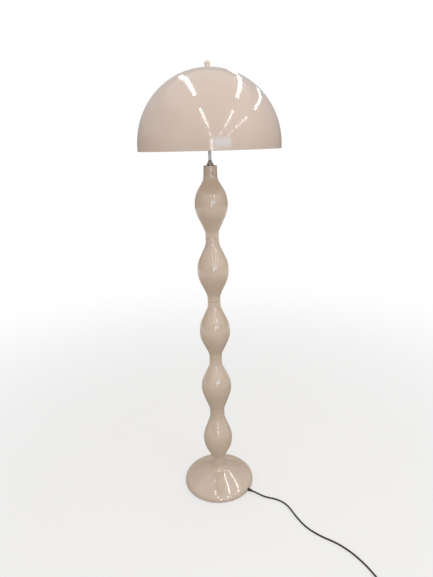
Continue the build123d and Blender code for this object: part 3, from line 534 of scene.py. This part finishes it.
# a bevelled edge at the end of a wall that comes up to a height
def bevelUp(radius, height, bevel):
    return [(radius, height - bevel), (radius - 0.3 * bevel, height - 0.3 * bevel), (radius - bevel, height)]


lipAt = (base["radius"] - base["lip"], base["gap"] + base["lip"])
spigotTop, underTop = base["foot"] + base["spigotHeight"], base["foot"] - base["topWall"]
neckEdge = bevelUp(base["neck"], base["foot"], base["bevel"])
outside = chain(arc(lipAt, base["lip"], -90, 0, 7), baseCurve(0), neckEdge[0])
top = [
    *neckEdge[1:], (base["spigot"], base["foot"]), (base["spigot"], spigotTop),
    (base["bore"], spigotTop), (base["bore"], underTop), (base["neck"] - base["wall"], underTop),
]
inside = chain(baseCurve(base["wall"])[::-1], (base["radius"] - base["wall"], base["gap"]))
shellSection = chain(outside, top, inside)
# columns stand closer at the notch; there the lower edge rises to the notch's round roof,
# and every low row moves up with it along the wall
offsets = np.array(base["notchColumns"])
offsets = np.concatenate([-offsets[:0:-1], offsets]) / base["radius"]
firstPlain, lastPlain = offsets[-1] + base["columnGap"], 2 * np.pi + offsets[0] - base["columnGap"]
plainAngles = np.linspace(firstPlain, lastPlain, base["columns"])
shellAngles = np.concatenate([offsets, plainAngles]) + exitAngle
across = np.concatenate([offsets, 0 * plainAngles + 1]) * base["radius"]
exitLevel = lead["exitHeight"] * 1000
roof = exitLevel + np.sqrt(np.clip(base["notch"] ** 2 - across**2, 0, None)) - base["gap"]
lift = np.where(np.abs(across) < base["notch"] + 0.01, roof, 0)
plainHeight = shellSection[:, 1:]
liftShare = np.clip((base["liftedTo"] - plainHeight) / (base["liftedTo"] - base["gap"]), 0, 1)
raised = plainHeight + lift * liftShare
isOutside = np.arange(len(shellSection)) < len(outside)
rollRadius = np.where(isOutside, base["roll"], base["roll"] - base["wall"])[:, None]


# how far the edge roll stands out at a level
def rollOut(level):
    above = np.clip(level - base["edge"], 0, rollRadius)
    return np.sqrt(np.clip(rollRadius**2 - above**2, 0, None))


slide = np.where(plainHeight < base["liftedTo"], rollOut(raised) - rollOut(plainHeight), 0)
shellRadius = shellSection[:, :1] + slide
piece("baseShell", [around(shellRadius, shellAngles, raised)], "base_shell")
feltRing = dict(inner=100, outer=132, thick=2.5, ease=0.9)
feltSection = ringSection(feltRing["inner"], feltRing["outer"], 0, feltRing["thick"], feltRing["ease"])
piece("feltRing", [turn(feltSection, 120)], "felt_ring")
print("lamp: base made")

# column: each module is an arc through its bulge, a straight flank and a hollow arc into each
# neck, with a spigot on top, a recess below and a fine bevel at each seam
column = dict(
    pitch=240, count=5, bulge=58.3, neck=24, stoutNeck=29, convex=108, hollow=63, straight=9,
    topRise=99, topHollow=44.97, bevel=0.5, spigot=17, spigotHeight=6, recess=17.15,
    recessHeight=6.15, bore=5.3, columns=144,
)


# half a module's outline, from its bulge to a neck: the flank touches both arcs
def halfWave(bulgeLevel, neckLevel, neck, straight, hollow):
    way = 1 if neckLevel > bulgeLevel else -1
    arcX, hollowX = column["bulge"] - column["convex"], neck + hollow
    hollowLevel = neckLevel - way * straight
    run, rise = hollowX - arcX, abs(hollowLevel - bulgeLevel)
    turned = math.atan2(rise, run) - math.acos((column["convex"] + hollow) / math.hypot(run, rise))
    swing = way * math.degrees(turned)
    bulgeArc = arc((arcX, bulgeLevel), column["convex"], 0, swing, 22)
    neckArc = arc((hollowX, hollowLevel), hollow, 180 + swing, 180, 18)
    share = np.linspace(0, 1, 8)[1:-1, None]
    return chain(bulgeArc, bulgeArc[-1] * (1 - share) + neckArc[0] * share, neckArc)


# the recess under a module or the collar, from its bore outwards
def recessLine(low):
    top, recess = low + column["recessHeight"], column["recess"]
    return [(column["bore"], top), (recess, top), (recess, low)]


for number in range(column["count"]):
    low = base["foot"] + column["pitch"] * number
    bulgeLevel = low + column["pitch"] / 2
    last = number == column["count"] - 1
    high = bulgeLevel + column["topRise"] if last else low + column["pitch"]
    lowNeck = column["stoutNeck"] if number == 1 else column["neck"]
    highNeck = column["stoutNeck"] if number == 0 else column["neck"]
    highStraight = 0 if last else column["straight"]
    highHollow = column["topHollow"] if last else column["hollow"]
    under = halfWave(bulgeLevel, low, lowNeck, column["straight"], column["hollow"])
    over = halfWave(bulgeLevel, high, highNeck, highStraight, highHollow)
    bevel, spigotTop = column["bevel"], high + column["spigotHeight"]
    over = over[over[:, 1] < high - bevel - 0.01]
    outline = chain(
        recessLine(low),
        [(lowNeck - bevel, low), (lowNeck - 0.3 * bevel, low + 0.3 * bevel), (lowNeck, low + bevel)],
        under[::-1],
        over[1:],
        bevelUp(highNeck, high, bevel),
        [(column["spigot"], high), (column["spigot"], spigotTop), (column["bore"], spigotTop)],
    )
    piece(f"columnModule{number + 1}", [turn(outline, column["columns"])], f"column_module_{number + 1}")
collarFoot = high
collar = dict(height=34, low=24, top=23, rounds=(0, 0, 0, 0.6, 3.6, 0))
collarTop = collarFoot + collar["height"]
collarCorners = [
    *recessLine(collarFoot),
    (collar["low"], collarFoot), (collar["top"], collarTop), (column["bore"], collarTop),
]
collarSection = rounded(collarCorners, collar["rounds"], 9)
piece("topCollar", [turn(collarSection, 112)], "top_collar")
print("lamp: column made")

# gasket, metal cone with a hollow flank, bare stem
gasket = dict(radius=11.5, thick=2.5, bore=5.3, ease=0.8)
coneFoot = collarTop + gasket["thick"]
gasketSection = ringSection(gasket["bore"], gasket["radius"], collarTop, coneFoot, gasket["ease"])
piece("collarGasket", [turn(gasketSection, 80)], "collar_gasket")
cone = dict(
    height=14, foot=[(5.15, 0), (11.7, 0), (12, 0.3)], flank=[(12, 1.6), (6.4, 14)], hollow=22,
    top=[(6.35, 13.6), (6, 14), (5.15, 14)],
)
flankFoot, flankTop = np.array(cone["flank"])
chord = flankTop - flankFoot
away = math.sqrt(cone["hollow"] ** 2 - (chord @ chord) / 4) / np.hypot(*chord)
hollowAt = (flankFoot + flankTop) / 2 + np.array([chord[1], -chord[0]]) * away
ends = [math.degrees(math.atan2(*(end - hollowAt)[::-1])) % 360 for end in (flankFoot, flankTop)]
coneSection = chain(cone["foot"], arc(hollowAt, cone["hollow"], *ends, 16)[:-1], cone["top"])
piece("coneNut", [turn(coneSection + (0, coneFoot), 80)], "cone_nut")
dome = dict(
    radius=242, wall=3, skirt=12, rounds=(0, 0.78, 0.78, 0), lowRow=4, highRow=8, hole=5.3,
    columns=200,
    outerEnd=88.745, innerEnd=88.73,  # degrees up to the hole in the crown
)
washer = dict(radius=8.6, thick=1.0)
stem = dict(radius=5, bore=4, inCone=7, shown=34, thread=9, columns=48)
rimHeight = coneFoot + cone["height"] + stem["shown"]
crownCentre = rimHeight + dome["skirt"]
crownTop = crownCentre + math.sqrt(dome["radius"] ** 2 - dome["hole"] ** 2)
finialFoot = crownTop + washer["thick"]
stemFoot, stemTop = coneFoot + stem["inCone"], finialFoot + stem["thread"]
stemRing = ringSection(stem["bore"], stem["radius"], stemFoot, stemTop)
stemSide = [(stem["radius"], height) for height in np.linspace(stemFoot + 1, stemTop - 1, 24)]
stemSection = np.concatenate([stemSide, stemRing[8:], stemRing[:8]])
piece("stemTube", [turn(stemSection, stem["columns"])], "stem_tube")

# shade: half a sphere's arc outside and inside, each going straight down into the skirt, and a
# rounded rim
outerRadius, innerRadius = dome["radius"], dome["radius"] - dome["wall"]
outerDome = arc((0, crownCentre), outerRadius, 0, dome["outerEnd"], 84)
innerDome = arc((0, crownCentre), innerRadius, dome["innerEnd"], 0, 48)
lowRow, highRow = rimHeight + dome["lowRow"], rimHeight + dome["highRow"]
rimCorners = [
    (innerRadius, lowRow), (innerRadius, rimHeight), (outerRadius, rimHeight), (outerRadius, lowRow),
]
rimSection = rounded(rimCorners, dome["rounds"])
shadeSection = chain(rimSection, (outerRadius, highRow), outerDome, innerDome, (innerRadius, highRow))
piece("shadeDome", [turn(shadeSection, dome["columns"])], "shade")

# finial: foot, soft waist, round belly and domed top; the waist's radius runs on a smooth step
# of its height, and the top is a quarter of an ellipse
finial = dict(
    line=[(0.4, 11), (7.35, 11), (7.35, 0), (8, 0), (8.3, 0.12), (8.4, 0.4)],
    foot=8.4, radius=9.8, height=20, waist=4, belly=12,
)
washerSection = ringSection(dome["hole"], washer["radius"], crownTop, finialFoot)
piece("finialWasher", [turn(washerSection, 64)], "finial_washer")
share = np.linspace(0, 1, 14)
waistRadius = finial["foot"] + (finial["radius"] - finial["foot"]) * share**2 * (3 - 2 * share)
waistHeight = finial["waist"] + (finial["belly"] - finial["waist"]) * share
topAngles = np.radians(np.linspace(0, 88, 22))
domedHeight = finial["belly"] + (finial["height"] - finial["belly"]) * np.sin(topAngles)
domed = joined(finial["radius"] * np.cos(topAngles), domedHeight)
finialSection = chain(finial["line"], joined(waistRadius, waistHeight), domed)
piece("finialKnob", [turn(finialSection + (0, finialFoot), 80)], "finial_knob", loop=False)
print("lamp: head made")

# seat under the crown
seat = dict(
    discRadius=30, discThick=2.5, discRound=(0, 2, 0.25, 0), washerRadius=17, washerThick=2,
    washerRound=0.5, bore=5.3,
)
washerTop = crownCentre + math.sqrt(innerRadius**2 - seat["washerRadius"] ** 2)
discTop = washerTop - seat["washerThick"]
discFoot = discTop - seat["discThick"]
discSection = ringSection(seat["bore"], seat["discRadius"], discFoot, discTop, seat["discRound"], 5)
piece("shadeDisc", [turn(discSection, 96)], "shade_disc")
washerSection = ringSection(seat["bore"], seat["washerRadius"], discTop, washerTop, seat["washerRound"])
piece("shadeWasher", [turn(washerSection, 80)], "shade_washer")

# hub: a rounded drum, with a boss for each lampholder
hub = dict(
    overRim=50, radius=21, height=34, rounds=(0, 6, 6, 0), bore=5.3, boss=9, bossBore=4.2,
    bossStart=14, bossRounds=(0, 0, 1, 0), reach=26, tilt=25, first=90, count=3,
)
hubLevel = rimHeight + hub["overRim"]
hubLow, hubHigh = hubLevel - hub["height"] / 2, hubLevel + hub["height"] / 2
drum = ringSection(hub["bore"], hub["radius"], hubLow, hubHigh, hub["rounds"], 9)
hubAt = np.array([0, 0, hubLevel])
tilt = math.radians(hub["tilt"])
azimuths = np.radians(hub["first"] + 360 / hub["count"] * np.arange(hub["count"]))
ways = around(math.cos(tilt), azimuths, math.sin(tilt))
boss = ringSection(hub["bossBore"], hub["boss"], hub["bossStart"], hub["reach"], hub["bossRounds"], 5)
bosses = [along(turn(boss, 48), hubAt, way) for way in ways]
piece("lampholderHub", [turn(drum, 96), *bosses], "lampholder_hub")

# lampholder: rear ring, round shoulder, ribbed skirt, smooth rim; the ribs take 0.3 mm off the
# skirt's radius, r = R - depth (1 + cos 40 a). Distances are from the hub's middle
holder = dict(
    rearLine=[(5.15, 26), (10, 26), (10.5, 26.5)], rear=10.5, radius=19.5, domeStart=30, domeEnd=42,
    skirt=(43, 66.5),
    rimLine=[(19.5, 67), (19.7, 67.6), (20.3, 68.4), (20.5, 69), (20.5, 78.2), (20.3, 78.8), (19.8, 79)],
    inside=[(14.6, 79), (14.25, 78.6), (14.25, 45), (5.15, 45)],
    ribs=40, ribDepth=0.15, ribbed=(43.5, 66.8), columns=240,
)
shoulder = np.radians(np.linspace(-90, 0, 12))
shoulderRadius = holder["rear"] + (holder["radius"] - holder["rear"]) * np.cos(shoulder)
shoulderHeight = holder["domeEnd"] + (holder["domeEnd"] - holder["domeStart"]) * np.sin(shoulder)
skirtLine = joined(holder["radius"], np.linspace(*holder["skirt"], 12))
shoulderLine = joined(shoulderRadius, shoulderHeight)
holderSection = chain(holder["rearLine"], shoulderLine, skirtLine, holder["rimLine"], holder["inside"])
holderGrid = turn(holderSection, holder["columns"])
holderRadius, holderHeight = holderSection.T
ribStart, ribEnd = holder["ribbed"]
onSkirt = (holderRadius > holder["radius"] - 0.1) & (holderHeight > ribStart) & (holderHeight < ribEnd)
ribAngles = np.arange(holder["columns"]) * 2 * np.pi / holder["columns"]
ribShare = (1 + np.cos(holder["ribs"] * ribAngles)) * onSkirt[:, None]
holderGrid[..., :2] *= (1 - holder["ribDepth"] * ribShare / holder["radius"])[..., None]

# screw liner and bulb cap: the thread is a wave, r = mean + depth cos(2 pi z / lead - a)
thread = dict(
    lead=3.6, linerMean=13.95, linerDepth=0.15, linerWall=0.4, liner=(48.9, 78.4),
    capMean=12.78, capDepth=0.32, cap=(55.6, 70.6),
)


def threadGrid(mean, depth, low, high, rows, steps=64):
    levels, turned = np.linspace(low, high, rows)[:, None], np.arange(steps) * 2 * np.pi / steps
    fade = np.clip(np.minimum(levels - low, high - levels) / thread["lead"] * 2, 0, 1)
    radius = mean + depth * fade * np.cos(2 * np.pi * levels / thread["lead"] - turned)
    return around(radius, turned, levels)


linerOut = threadGrid(thread["linerMean"], thread["linerDepth"], *thread["liner"], 70)
linerIn = linerOut[::-1].copy()
linerIn[..., :2] *= 1 - thread["linerWall"] / thread["linerMean"]
linerGrid = np.concatenate([linerOut, linerIn])
cap = dict(
    foot=[(0.3, 48.3), (4.4, 48.3), (4.4, 49.3), (10, 52.3), (12.7, 55.4)], footRounds=[0, 0.7, 0.3, 1, 0],
    lip=[(12.8, 70.9), (13.1, 71.4), (13.1, 72.9), (12.9, 73.3), (12.4, 73.3), (12.3, 73.1)],
    hollow=[(12.3, 65.4), (0.3, 65.4)],
)
capThread = threadGrid(thread["capMean"], thread["capDepth"], *thread["cap"], 56)
capFoot, capLip = rounded(cap["foot"], cap["footRounds"]), chain(cap["lip"], cap["hollow"])
capGrid = np.concatenate([turn(capFoot), capThread, turn(capLip)])
# bulb: a ball on a neck, a smooth curve r(z) from the neck to the ball between them
bulb = dict(radius=30, centre=123.3, wall=1.2, neck=12.2, neckStart=65.5, foot=79, shoulder=50, pull=0.9)


def glassLine(inset):
    ball, angle = bulb["radius"] - inset, math.radians(bulb["shoulder"])
    first = np.array([bulb["neck"] - inset, bulb["foot"]])
    second = np.array([ball * math.cos(angle), bulb["centre"] - ball * math.sin(angle)])
    pull = bulb["pull"] * np.hypot(*(second - first))
    share = np.linspace(0, 1, 16)[:, None]
    leave, arrive = np.array([0, pull]), np.array([math.sin(angle), math.cos(angle)]) * pull
    curve = (
        (2 * share**3 - 3 * share**2 + 1) * first
        + (share**3 - 2 * share**2 + share) * leave
        + (3 * share**2 - 2 * share**3) * second
        + (share**3 - share**2) * arrive
    )
    ballArc = arc((0, bulb["centre"]), ball, -bulb["shoulder"], 89.3, 40)
    return chain((bulb["neck"] - inset, bulb["neckStart"]), curve, ballArc)


glassGrid = turn(chain(glassLine(bulb["wall"])[::-1], glassLine(0)), 72)
for number, way in enumerate(ways, 1):
    piece(f"lampholder{number}", [along(holderGrid, hubAt, way)], f"lampholder_{number}")
    piece(f"socketShell{number}", [along(linerGrid, hubAt, way)], f"socket_shell_{number}")
    piece(f"bulbCap{number}", [along(capGrid, hubAt, way)], f"bulb_cap_{number}", loop=False)
    piece(f"bulbGlass{number}", [along(glassGrid, hubAt, way)], f"bulb_glass_{number}", loop=False)
print("lamp: lampholders and bulbs made")


# tapered sleeve round a lead with grooves that let it bend: the radius falls evenly from root
# to tip, less a row of cosine grooves that fade at both ends
def sleeveSection(look, face=0):
    start, length = face + look["seam"], look["length"]
    share = np.linspace(0, 1, 12 * look["grooves"])
    groove = 0.5 - 0.5 * np.cos(2 * np.pi * look["grooves"] * share)
    radius = look["root"] + (look["tip"] - look["root"]) * share - look["depth"] * groove
    height = start + look["collar"] + (length - look["collar"] - look["end"]) * share
    return chain(
        [(look["bore"], start), (look["root"] - look["round"], start), (look["root"], start + look["round"])],
        joined(radius, height),
        [(look["tip"] - look["round"], start + length), (look["bore"], start + length)],
    )


leadSleeve = dict(
    length=21.85, seam=0.15, root=6, tip=4.2, grooves=6, depth=0.5, bore=3.3, collar=2, end=0.6,
    round=0.4,
)
bush = dict(leadSleeve, length=17.85, root=6.4, grooves=5, depth=0.55, inner=133.2, innerRadius=5.6)
bushStart = base["radius"] + bush["seam"]
bushSection = chain(
    [(bush["bore"], bush["inner"]), (bush["innerRadius"], bush["inner"]), (bush["innerRadius"], bushStart)],
    sleeveSection(bush, base["radius"])[1:],
)
piece("cordBush", [along(turn(bushSection, 56), (0, 0, exitLevel), exitWay)], "cord_bush")

# foot switch: a rounded rectangle drawn in from level to level, x = a + r cos t, with a round
# hole in its lid; quarter arcs of equal counts let the outline run over into the hole's circle
switch = dict(
    at=(512, -578), length=88, width=46, corner=18, wall=2.2, seam=(8.95, 9.05), top=21, round=4,
    ceiling=18.8, edge=0.35, hole=[(12.9, 21), (12.45, 20.85), (12.3, 20.4), (12.3, 18.8)],
    trayEdge=[(1, 0), (0.3, 0.3), (0, 1), (0, 8.6)], trayFloor=2.2, trayMiddle=2, leadLevel=9,
)
arcShare = np.linspace(0, 1, 18)
outlineAngles = np.radians(np.concatenate([90 * k + 90 * arcShare for k in range(4)]))
circleAngles = np.radians(np.concatenate([90 * k + 2.5 + 85 * arcShare for k in range(4)]))
signX = np.repeat([1, -1, -1, 1], len(arcShare))
signY = np.repeat([1, 1, -1, -1], len(arcShare))


def outlineRow(inset, level):
    corner = switch["corner"] - inset
    x = signX * (switch["width"] / 2 - switch["corner"]) + corner * np.cos(outlineAngles)
    y = signY * (switch["length"] / 2 - switch["corner"]) + corner * np.sin(outlineAngles)
    return joined(x, y, level) + (*switch["at"], 0)


def holeRow(radius, level):
    return around(radius, circleAngles, level) + (*switch["at"], 0)


(trayTop, lidFoot), edge, topRound = switch["seam"], switch["edge"], switch["round"]
lidArc = [(topRound * (1 - math.cos(a)), topRound * math.sin(a)) for a in np.radians(np.linspace(0, 90, 9))]
lid = [outlineRow(switch["wall"], lidFoot), outlineRow(edge, lidFoot), outlineRow(0, lidFoot + edge)]
lid += [outlineRow(inset, switch["top"] - topRound + rise) for inset, rise in lidArc]
lid += [holeRow(*row) for row in switch["hole"]]
lid += [outlineRow(switch["wall"], switch["ceiling"])]
piece("switchCover", [np.stack(lid)], "switch_cover")
tray = [holeRow(switch["trayMiddle"], 0), *[outlineRow(*row) for row in switch["trayEdge"]]]
tray += [outlineRow(edge, trayTop), outlineRow(switch["wall"], trayTop)]
tray += [outlineRow(switch["wall"], switch["trayFloor"]), holeRow(switch["trayMiddle"], switch["trayFloor"])]
piece("switchBase", [np.stack(tray)], "switch_base", loop=False)
# the button's top is a shallow dish with three rings, z = top - dish (1 - s s) + ring (cos - 1)
button = dict(
    line=[(0.5, 13.45), (4, 13.45), (4, 17.05), (13.6, 17.05), (13.6, 18.65), (12, 18.65)],
    radius=12, top=27, round=2, dish=0.6, dishRadius=9.9, rings=3, ring=0.12,
)
share = np.linspace(1, 0.04, 40)
rings = button["ring"] * np.cos(2 * np.pi * button["rings"] * share) - button["ring"]
dished = button["top"] - button["dish"] * (1 - share**2) + rings
topEdge = button["radius"] - button["round"], button["top"] - button["round"]
edgeArc = arc(topEdge, button["round"], 0, 90, 8)
buttonSection = chain(button["line"], edgeArc, joined(button["dishRadius"] * share, dished))
piece("switchButton", [turn(buttonSection, 72) + (*switch["at"], 0)], "switch_button", loop=False)
sleeveGrid = turn(sleeveSection(leadSleeve), 48)
for name, way in (("In", 1), ("Out", -1)):
    sleeveFoot = (switch["at"][0], switch["at"][1] + way * switch["length"] / 2, switch["leadLevel"])
    sleeve = along(sleeveGrid, sleeveFoot, (0, way, 0))
    piece(f"switchSleeve{name}", [sleeve], f"switch_sleeve_{name.lower()}")

# plug: flat body, y = w c, z = t s with |c|^n + |s|^n = 1; it narrows to the rear, where three
# finger grooves run across, and both ends are rounded
plug = dict(
    rear=(402, -728.5, 6.95), length=36, half=17.5, rearHalf=7.5, thick=6.75, taper=15, power=5,
    round=2.5, grip=(5, 17), gripPitch=4, gripDepth=0.45, columns=96, sleeveRoot=5.6,
)
endShare = np.linspace(0, np.pi / 2, 8)
rearEnd, frontEnd = plug["round"], plug["length"] - plug["round"]
distance = np.concatenate([
    rearEnd * (1 - np.cos(endShare)),
    np.linspace(rearEnd + 0.1, frontEnd - 0.1, 60),
    frontEnd + plug["round"] * np.sin(endShare),
])
near = np.clip(1 - distance / plug["round"], 0, 1)
far = np.clip((distance - frontEnd) / plug["round"], 0, 1)
drawnIn = plug["round"] * (2 - np.sqrt(1 - near**2) - np.sqrt(np.clip(1 - far**2, 0, 1)))
widening = np.clip(distance / plug["taper"], 0, 1)
halfWidth = plug["rearHalf"] + (plug["half"] - plug["rearHalf"]) * widening - drawnIn
gripStart, gripEnd = plug["grip"]
gripWave = 0.5 - 0.5 * np.cos(2 * np.pi * (distance - gripStart) / plug["gripPitch"])
grip = np.where((distance > gripStart) & (distance < gripEnd), gripWave, 0)
halfThick = plug["thick"] - drawnIn - plug["gripDepth"] * grip
spin = np.arange(plug["columns"]) * 2 * np.pi / plug["columns"]
shapeX = np.sign(np.cos(spin)) * np.abs(np.cos(spin)) ** (2 / plug["power"])
shapeY = np.sign(np.sin(spin)) * np.abs(np.sin(spin)) ** (2 / plug["power"])
plugGrid = joined(halfWidth[:, None] * shapeX, halfThick[:, None] * shapeY, distance[:, None])
piece("plugBody", [along(plugGrid, plug["rear"], (-1, 0, 0))], "plug_body", loop=False)
sleeveGrid = turn(sleeveSection(dict(leadSleeve, root=plug["sleeveRoot"])), 48)
piece("plugSleeve", [along(sleeveGrid, plug["rear"], (1, 0, 0))], "plug_sleeve")
pins = dict(
    y=(-738, -719), radius=2, core=1.5, sheath=10, sheathRound=0.05, tipAt=(1.2, 18.2), tipRound=0.8,
    line=[(0.3, -5.8), (1.5, -5.8), (1.5, 10), (1.95, 10), (2, 10.1)], end=(0.3, 19),
)
pinSection = chain(pins["line"], arc(pins["tipAt"], pins["tipRound"], 0, 90, 6), pins["end"])
sheathSection = ringSection(pins["core"], pins["radius"], 0, pins["sheath"], pins["sheathRound"])
pinGrid, sheathGrid = turn(pinSection, 32), turn(sheathSection, 32)
pinStarts = [(plug["rear"][0] - plug["length"], y, plug["rear"][2]) for y in pins["y"]]
piece("plugPins", [along(pinGrid, start, (-1, 0, 0)) for start in pinStarts], "plug_pins", loop=False)
piece("pinSleeves", [along(sheathGrid, start, (-1, 0, 0)) for start in pinStarts], "pin_sleeves")
print("lamp: switch and plug made")

# both leads take the finish and the body of the CAD node that each stands for
settle(leadRun, "lead_run")
settle(leadCoil, "lead_coil")

# floor: pale and matt, whiter further out. The camera, mirrors and glass see it paler than it
# is, and the light that it throws back is dimmer and warmer
floorLook = dict(
    size=14.0, colour=(0.86, 0.855, 0.85), clouded=0.985, cloudScale=3, bounce=(0.35, 0.30, 0.25),
    rough=0.6, white=0.5, fadeFrom=0.6, fadeTo=3.0,
)


def stageMesh(name, points, faces):
    mesh = bpy.data.meshes.new(name)
    mesh.from_pydata(points, [], faces)
    made = link(name, mesh)
    return made


# 1 for rays of the camera, mirrors and glass, 0 for the light that surfaces share
def seenRays(tree):
    rays = Wire(tree).node("ShaderNodeLightPath")
    outputs = rays.socket.node.outputs
    total = rays + Wire(tree, outputs["Is Glossy Ray"]) + Wire(tree, outputs["Is Transmission Ray"])
    return total.node("ShaderNodeClamp", {}, {0: total})


def surface(wire, output="Material Output"):
    wire.tree.links.new(wire.socket, wire.tree.nodes[output].inputs["Surface"])


paleFloor, floorShader, spot = newMaterial("paleFloor", Roughness=floorLook["rough"])
tree = paleFloor.node_tree
seen, byCamera = seenRays(tree), Wire(tree).node("ShaderNodeLightPath")
cloud = spot.noise(floorLook["cloudScale"], 3, 0.5)
pale = cloud.blend(tint(floorLook["colour"]), tint(floorLook["colour"], floorLook["clouded"]))
feed(floorShader, Base_Color=byCamera.blend(tint(floorLook["bounce"]), pale))
reach = spot.node("ShaderNodeVectorMath", {"operation": "LENGTH"}, {0: spot}, "Value")
farOut = reach.step(floorLook["fadeFrom"], floorLook["fadeTo"])
nearBy = byCamera * (1 - farOut) * floorLook["white"]
white = Wire(tree).node("ShaderNodeEmission", {}, {"Color": (1, 1, 1, 1), "Strength": 1.0})
mixed = {0: nearBy + farOut * seen, 1: Wire(tree, floorShader.outputs[0]), 2: white}
surface(seen.node("ShaderNodeMixShader", {}, mixed))
half = floorLook["size"] / 2
corners = [(-half, -half, 0), (half, -half, 0), (half, half, 0), (-half, half, 0)]
stageMesh("floor", corners, [(0, 1, 2, 3)]).data.materials.append(paleFloor)

# world: white to the camera, mirrors and glass; as light it is soft, and stronger from the sides
worldLook = dict(light=(1.0, 0.985, 0.97), level=1.0, above=0.58, risesOver=(0.05, 0.9))
world = bpy.data.worlds.new("studio")
bpy.context.scene.world = world
world.use_nodes = True
tree = world.node_tree
seen = seenRays(tree)
upwards = Wire(tree).node("ShaderNodeTexCoord").axis("Z").step(*worldLook["risesOver"])
strength = worldLook["level"] + (worldLook["above"] - worldLook["level"]) * upwards
soft = Wire(tree).node("ShaderNodeBackground", {}, {"Color": (*worldLook["light"], 1), "Strength": strength})
bare = Wire(tree).node("ShaderNodeBackground", {}, {"Color": (1, 1, 1, 1), "Strength": 1.0})
surface(seen.node("ShaderNodeMixShader", {}, {0: seen, 1: soft, 2: bare}), "World Output")


# a lamp panel: width and length, its middle, and the point that it faces
def panel(name, size, place, towards, radiance, colour=(1, 1, 1), spin=0.0, diffuse=True, glossy=True):
    light = bpy.data.lights.new(name, "AREA")
    light.shape = "RECTANGLE"
    light.size, light.size_y = size
    light.energy = radiance * math.pi * size[0] * size[1]
    light.color = colour
    made = link(name, light)
    facing = (Vector(towards) - Vector(place)).to_track_quat("-Z", "Y").to_matrix().to_4x4()
    made.matrix_world = Matrix.Translation(place) @ facing @ Matrix.Rotation(spin, 4, "Z")
    made.visible_camera = False
    made.visible_diffuse = diffuse
    made.visible_glossy = glossy


# soft light from above, more of it from the front and right
panel("ceilingSoft", (3.6, 3.6), (0.3, -0.6, 3), (0, 0, 0), 0.36, (1, 0.98, 0.96), glossy=False)
panel("rightSoft", (2.2, 2.2), (2.3, -2.4, 1.9), (0, 0, 0.9), 0.62, (1, 0.97, 0.93), glossy=False)
panel("frontSoft", (2.4, 1.2), (-0.2, -2.9, 1.45), (0, 0, 1.2), 1.0, (1, 0.98, 0.97), glossy=False)

# the glow inside the dome, from the light that its acrylic lets through
panel("domeGlow", (0.32, 0.32), (0, 0, 1.307), (0, 0, 2), 0.8, (1, 0.95, 0.9), glossy=False)

# what gloss and metal mirror besides the white: a dim warm ring all round that only mirrors
# see, lighter in front, with a darker patch on the left, then a cool panel and a bright strip
ringLook = dict(
    radius=6.5, low=-0.2, high=7.5, steps=96, behind=(0.24, 0.20, 0.17), front=(0.62, 0.60, 0.61),
    lean=0.35, frontEdges=(-1.5, 5.0), aboveBehind=(0.50, 0.51, 0.54), riseEdges=(0.9, 3.8),
    patch=(0.060, 0.038, 0.022), patchShare=0.85, patchNear=(0.6, 0.75), patchFar=(3.9, 4.1),
    patchLeft=(1.0, 2.0), patchTop=(2.3, 2.45),
)
ringAngles = np.arange(ringLook["steps"]) * 2 * np.pi / ringLook["steps"]
ringEdges = [around(ringLook["radius"], ringAngles, ringLook[edge]) for edge in ("low", "high")]
here = np.arange(ringLook["steps"])
beside = np.roll(here, -1)
ringFaces = joined(here, here + ringLook["steps"], beside + ringLook["steps"], beside)
dimRing = stageMesh("dimRing", np.concatenate(ringEdges).tolist(), ringFaces.tolist())
dimRing.visible_camera = dimRing.visible_diffuse = False
dimRing.visible_transmission = dimRing.visible_shadow = False
ringPaint, _, spot = newMaterial("ringPaint")
inFront = (spot.axis("X") * ringLook["lean"] - spot.axis("Y")).step(*ringLook["frontEdges"])
colour = inFront.blend(tint(ringLook["behind"]), tint(ringLook["front"]))
above = inFront.blend(tint(ringLook["aboveBehind"]), tint((1, 1, 1)))
colour = spot.axis("Z").step(*ringLook["riseEdges"]).blend(colour, above)
patch = spot.axis("Y").step(*ringLook["patchNear"]) - spot.axis("Y").step(*ringLook["patchFar"])
patch = patch * (0 - spot.axis("X")).step(*ringLook["patchLeft"])
patch = patch * (1 - spot.axis("Z").step(*ringLook["patchTop"]))
colour = (patch * ringLook["patchShare"]).blend(colour, tint(ringLook["patch"]))
surface(colour.node("ShaderNodeEmission", {}, {"Color": colour, "Strength": 1.0}))
dimRing.data.materials.append(ringPaint)
panel("coolPanel", (2.6, 1.27), (1.97, -5.45, 1.965), (0, 0, 1.965), 4.5, (0.34, 0.70, 1.0), diffuse=False)
panel("brightStrip", (0.31, 2.35), (0.395, -5.94, 1.275), (0, 0, 1.275), 13, (0.85, 0.93, 1), diffuse=False)

# rows of tubes overhead, as they mirror in the dome: both ends of each, in millimetres
tubes = dict(
    height=2.65, width=0.078, radiance=18,
    ends=[
        ((-534, 1338), (-337, -381)), ((-292, -1017), (-10, -2747)), ((41, -3354), (250, -5080)),
        ((518, 2014), (369, 3700)), ((599, 1446), (815, -250)), ((949, -923), (1180, -2627)),
        ((1227, -3350), (1400, -5050)), ((1347, 1663), (1179, 2453)), ((1407, 1619), (1749, -26)),
        ((1811, -719), (2066, -2421)), ((2082, -3006), (2461, -4675)),
    ],
)
for number, (first, second) in enumerate(tubes["ends"], 1):
    first, second = np.array(first) / 1000, np.array(second) / 1000
    x, y = (first + second) / 2
    place, slant = (x, y, tubes["height"]), -math.atan2(*(second - first))
    size = (tubes["width"], float(np.hypot(*(second - first))))
    panel(f"tube{number}", size, place, (x, y, 0), tubes["radiance"], spin=slant, diffuse=False)
print("lamp: stage and lights made")
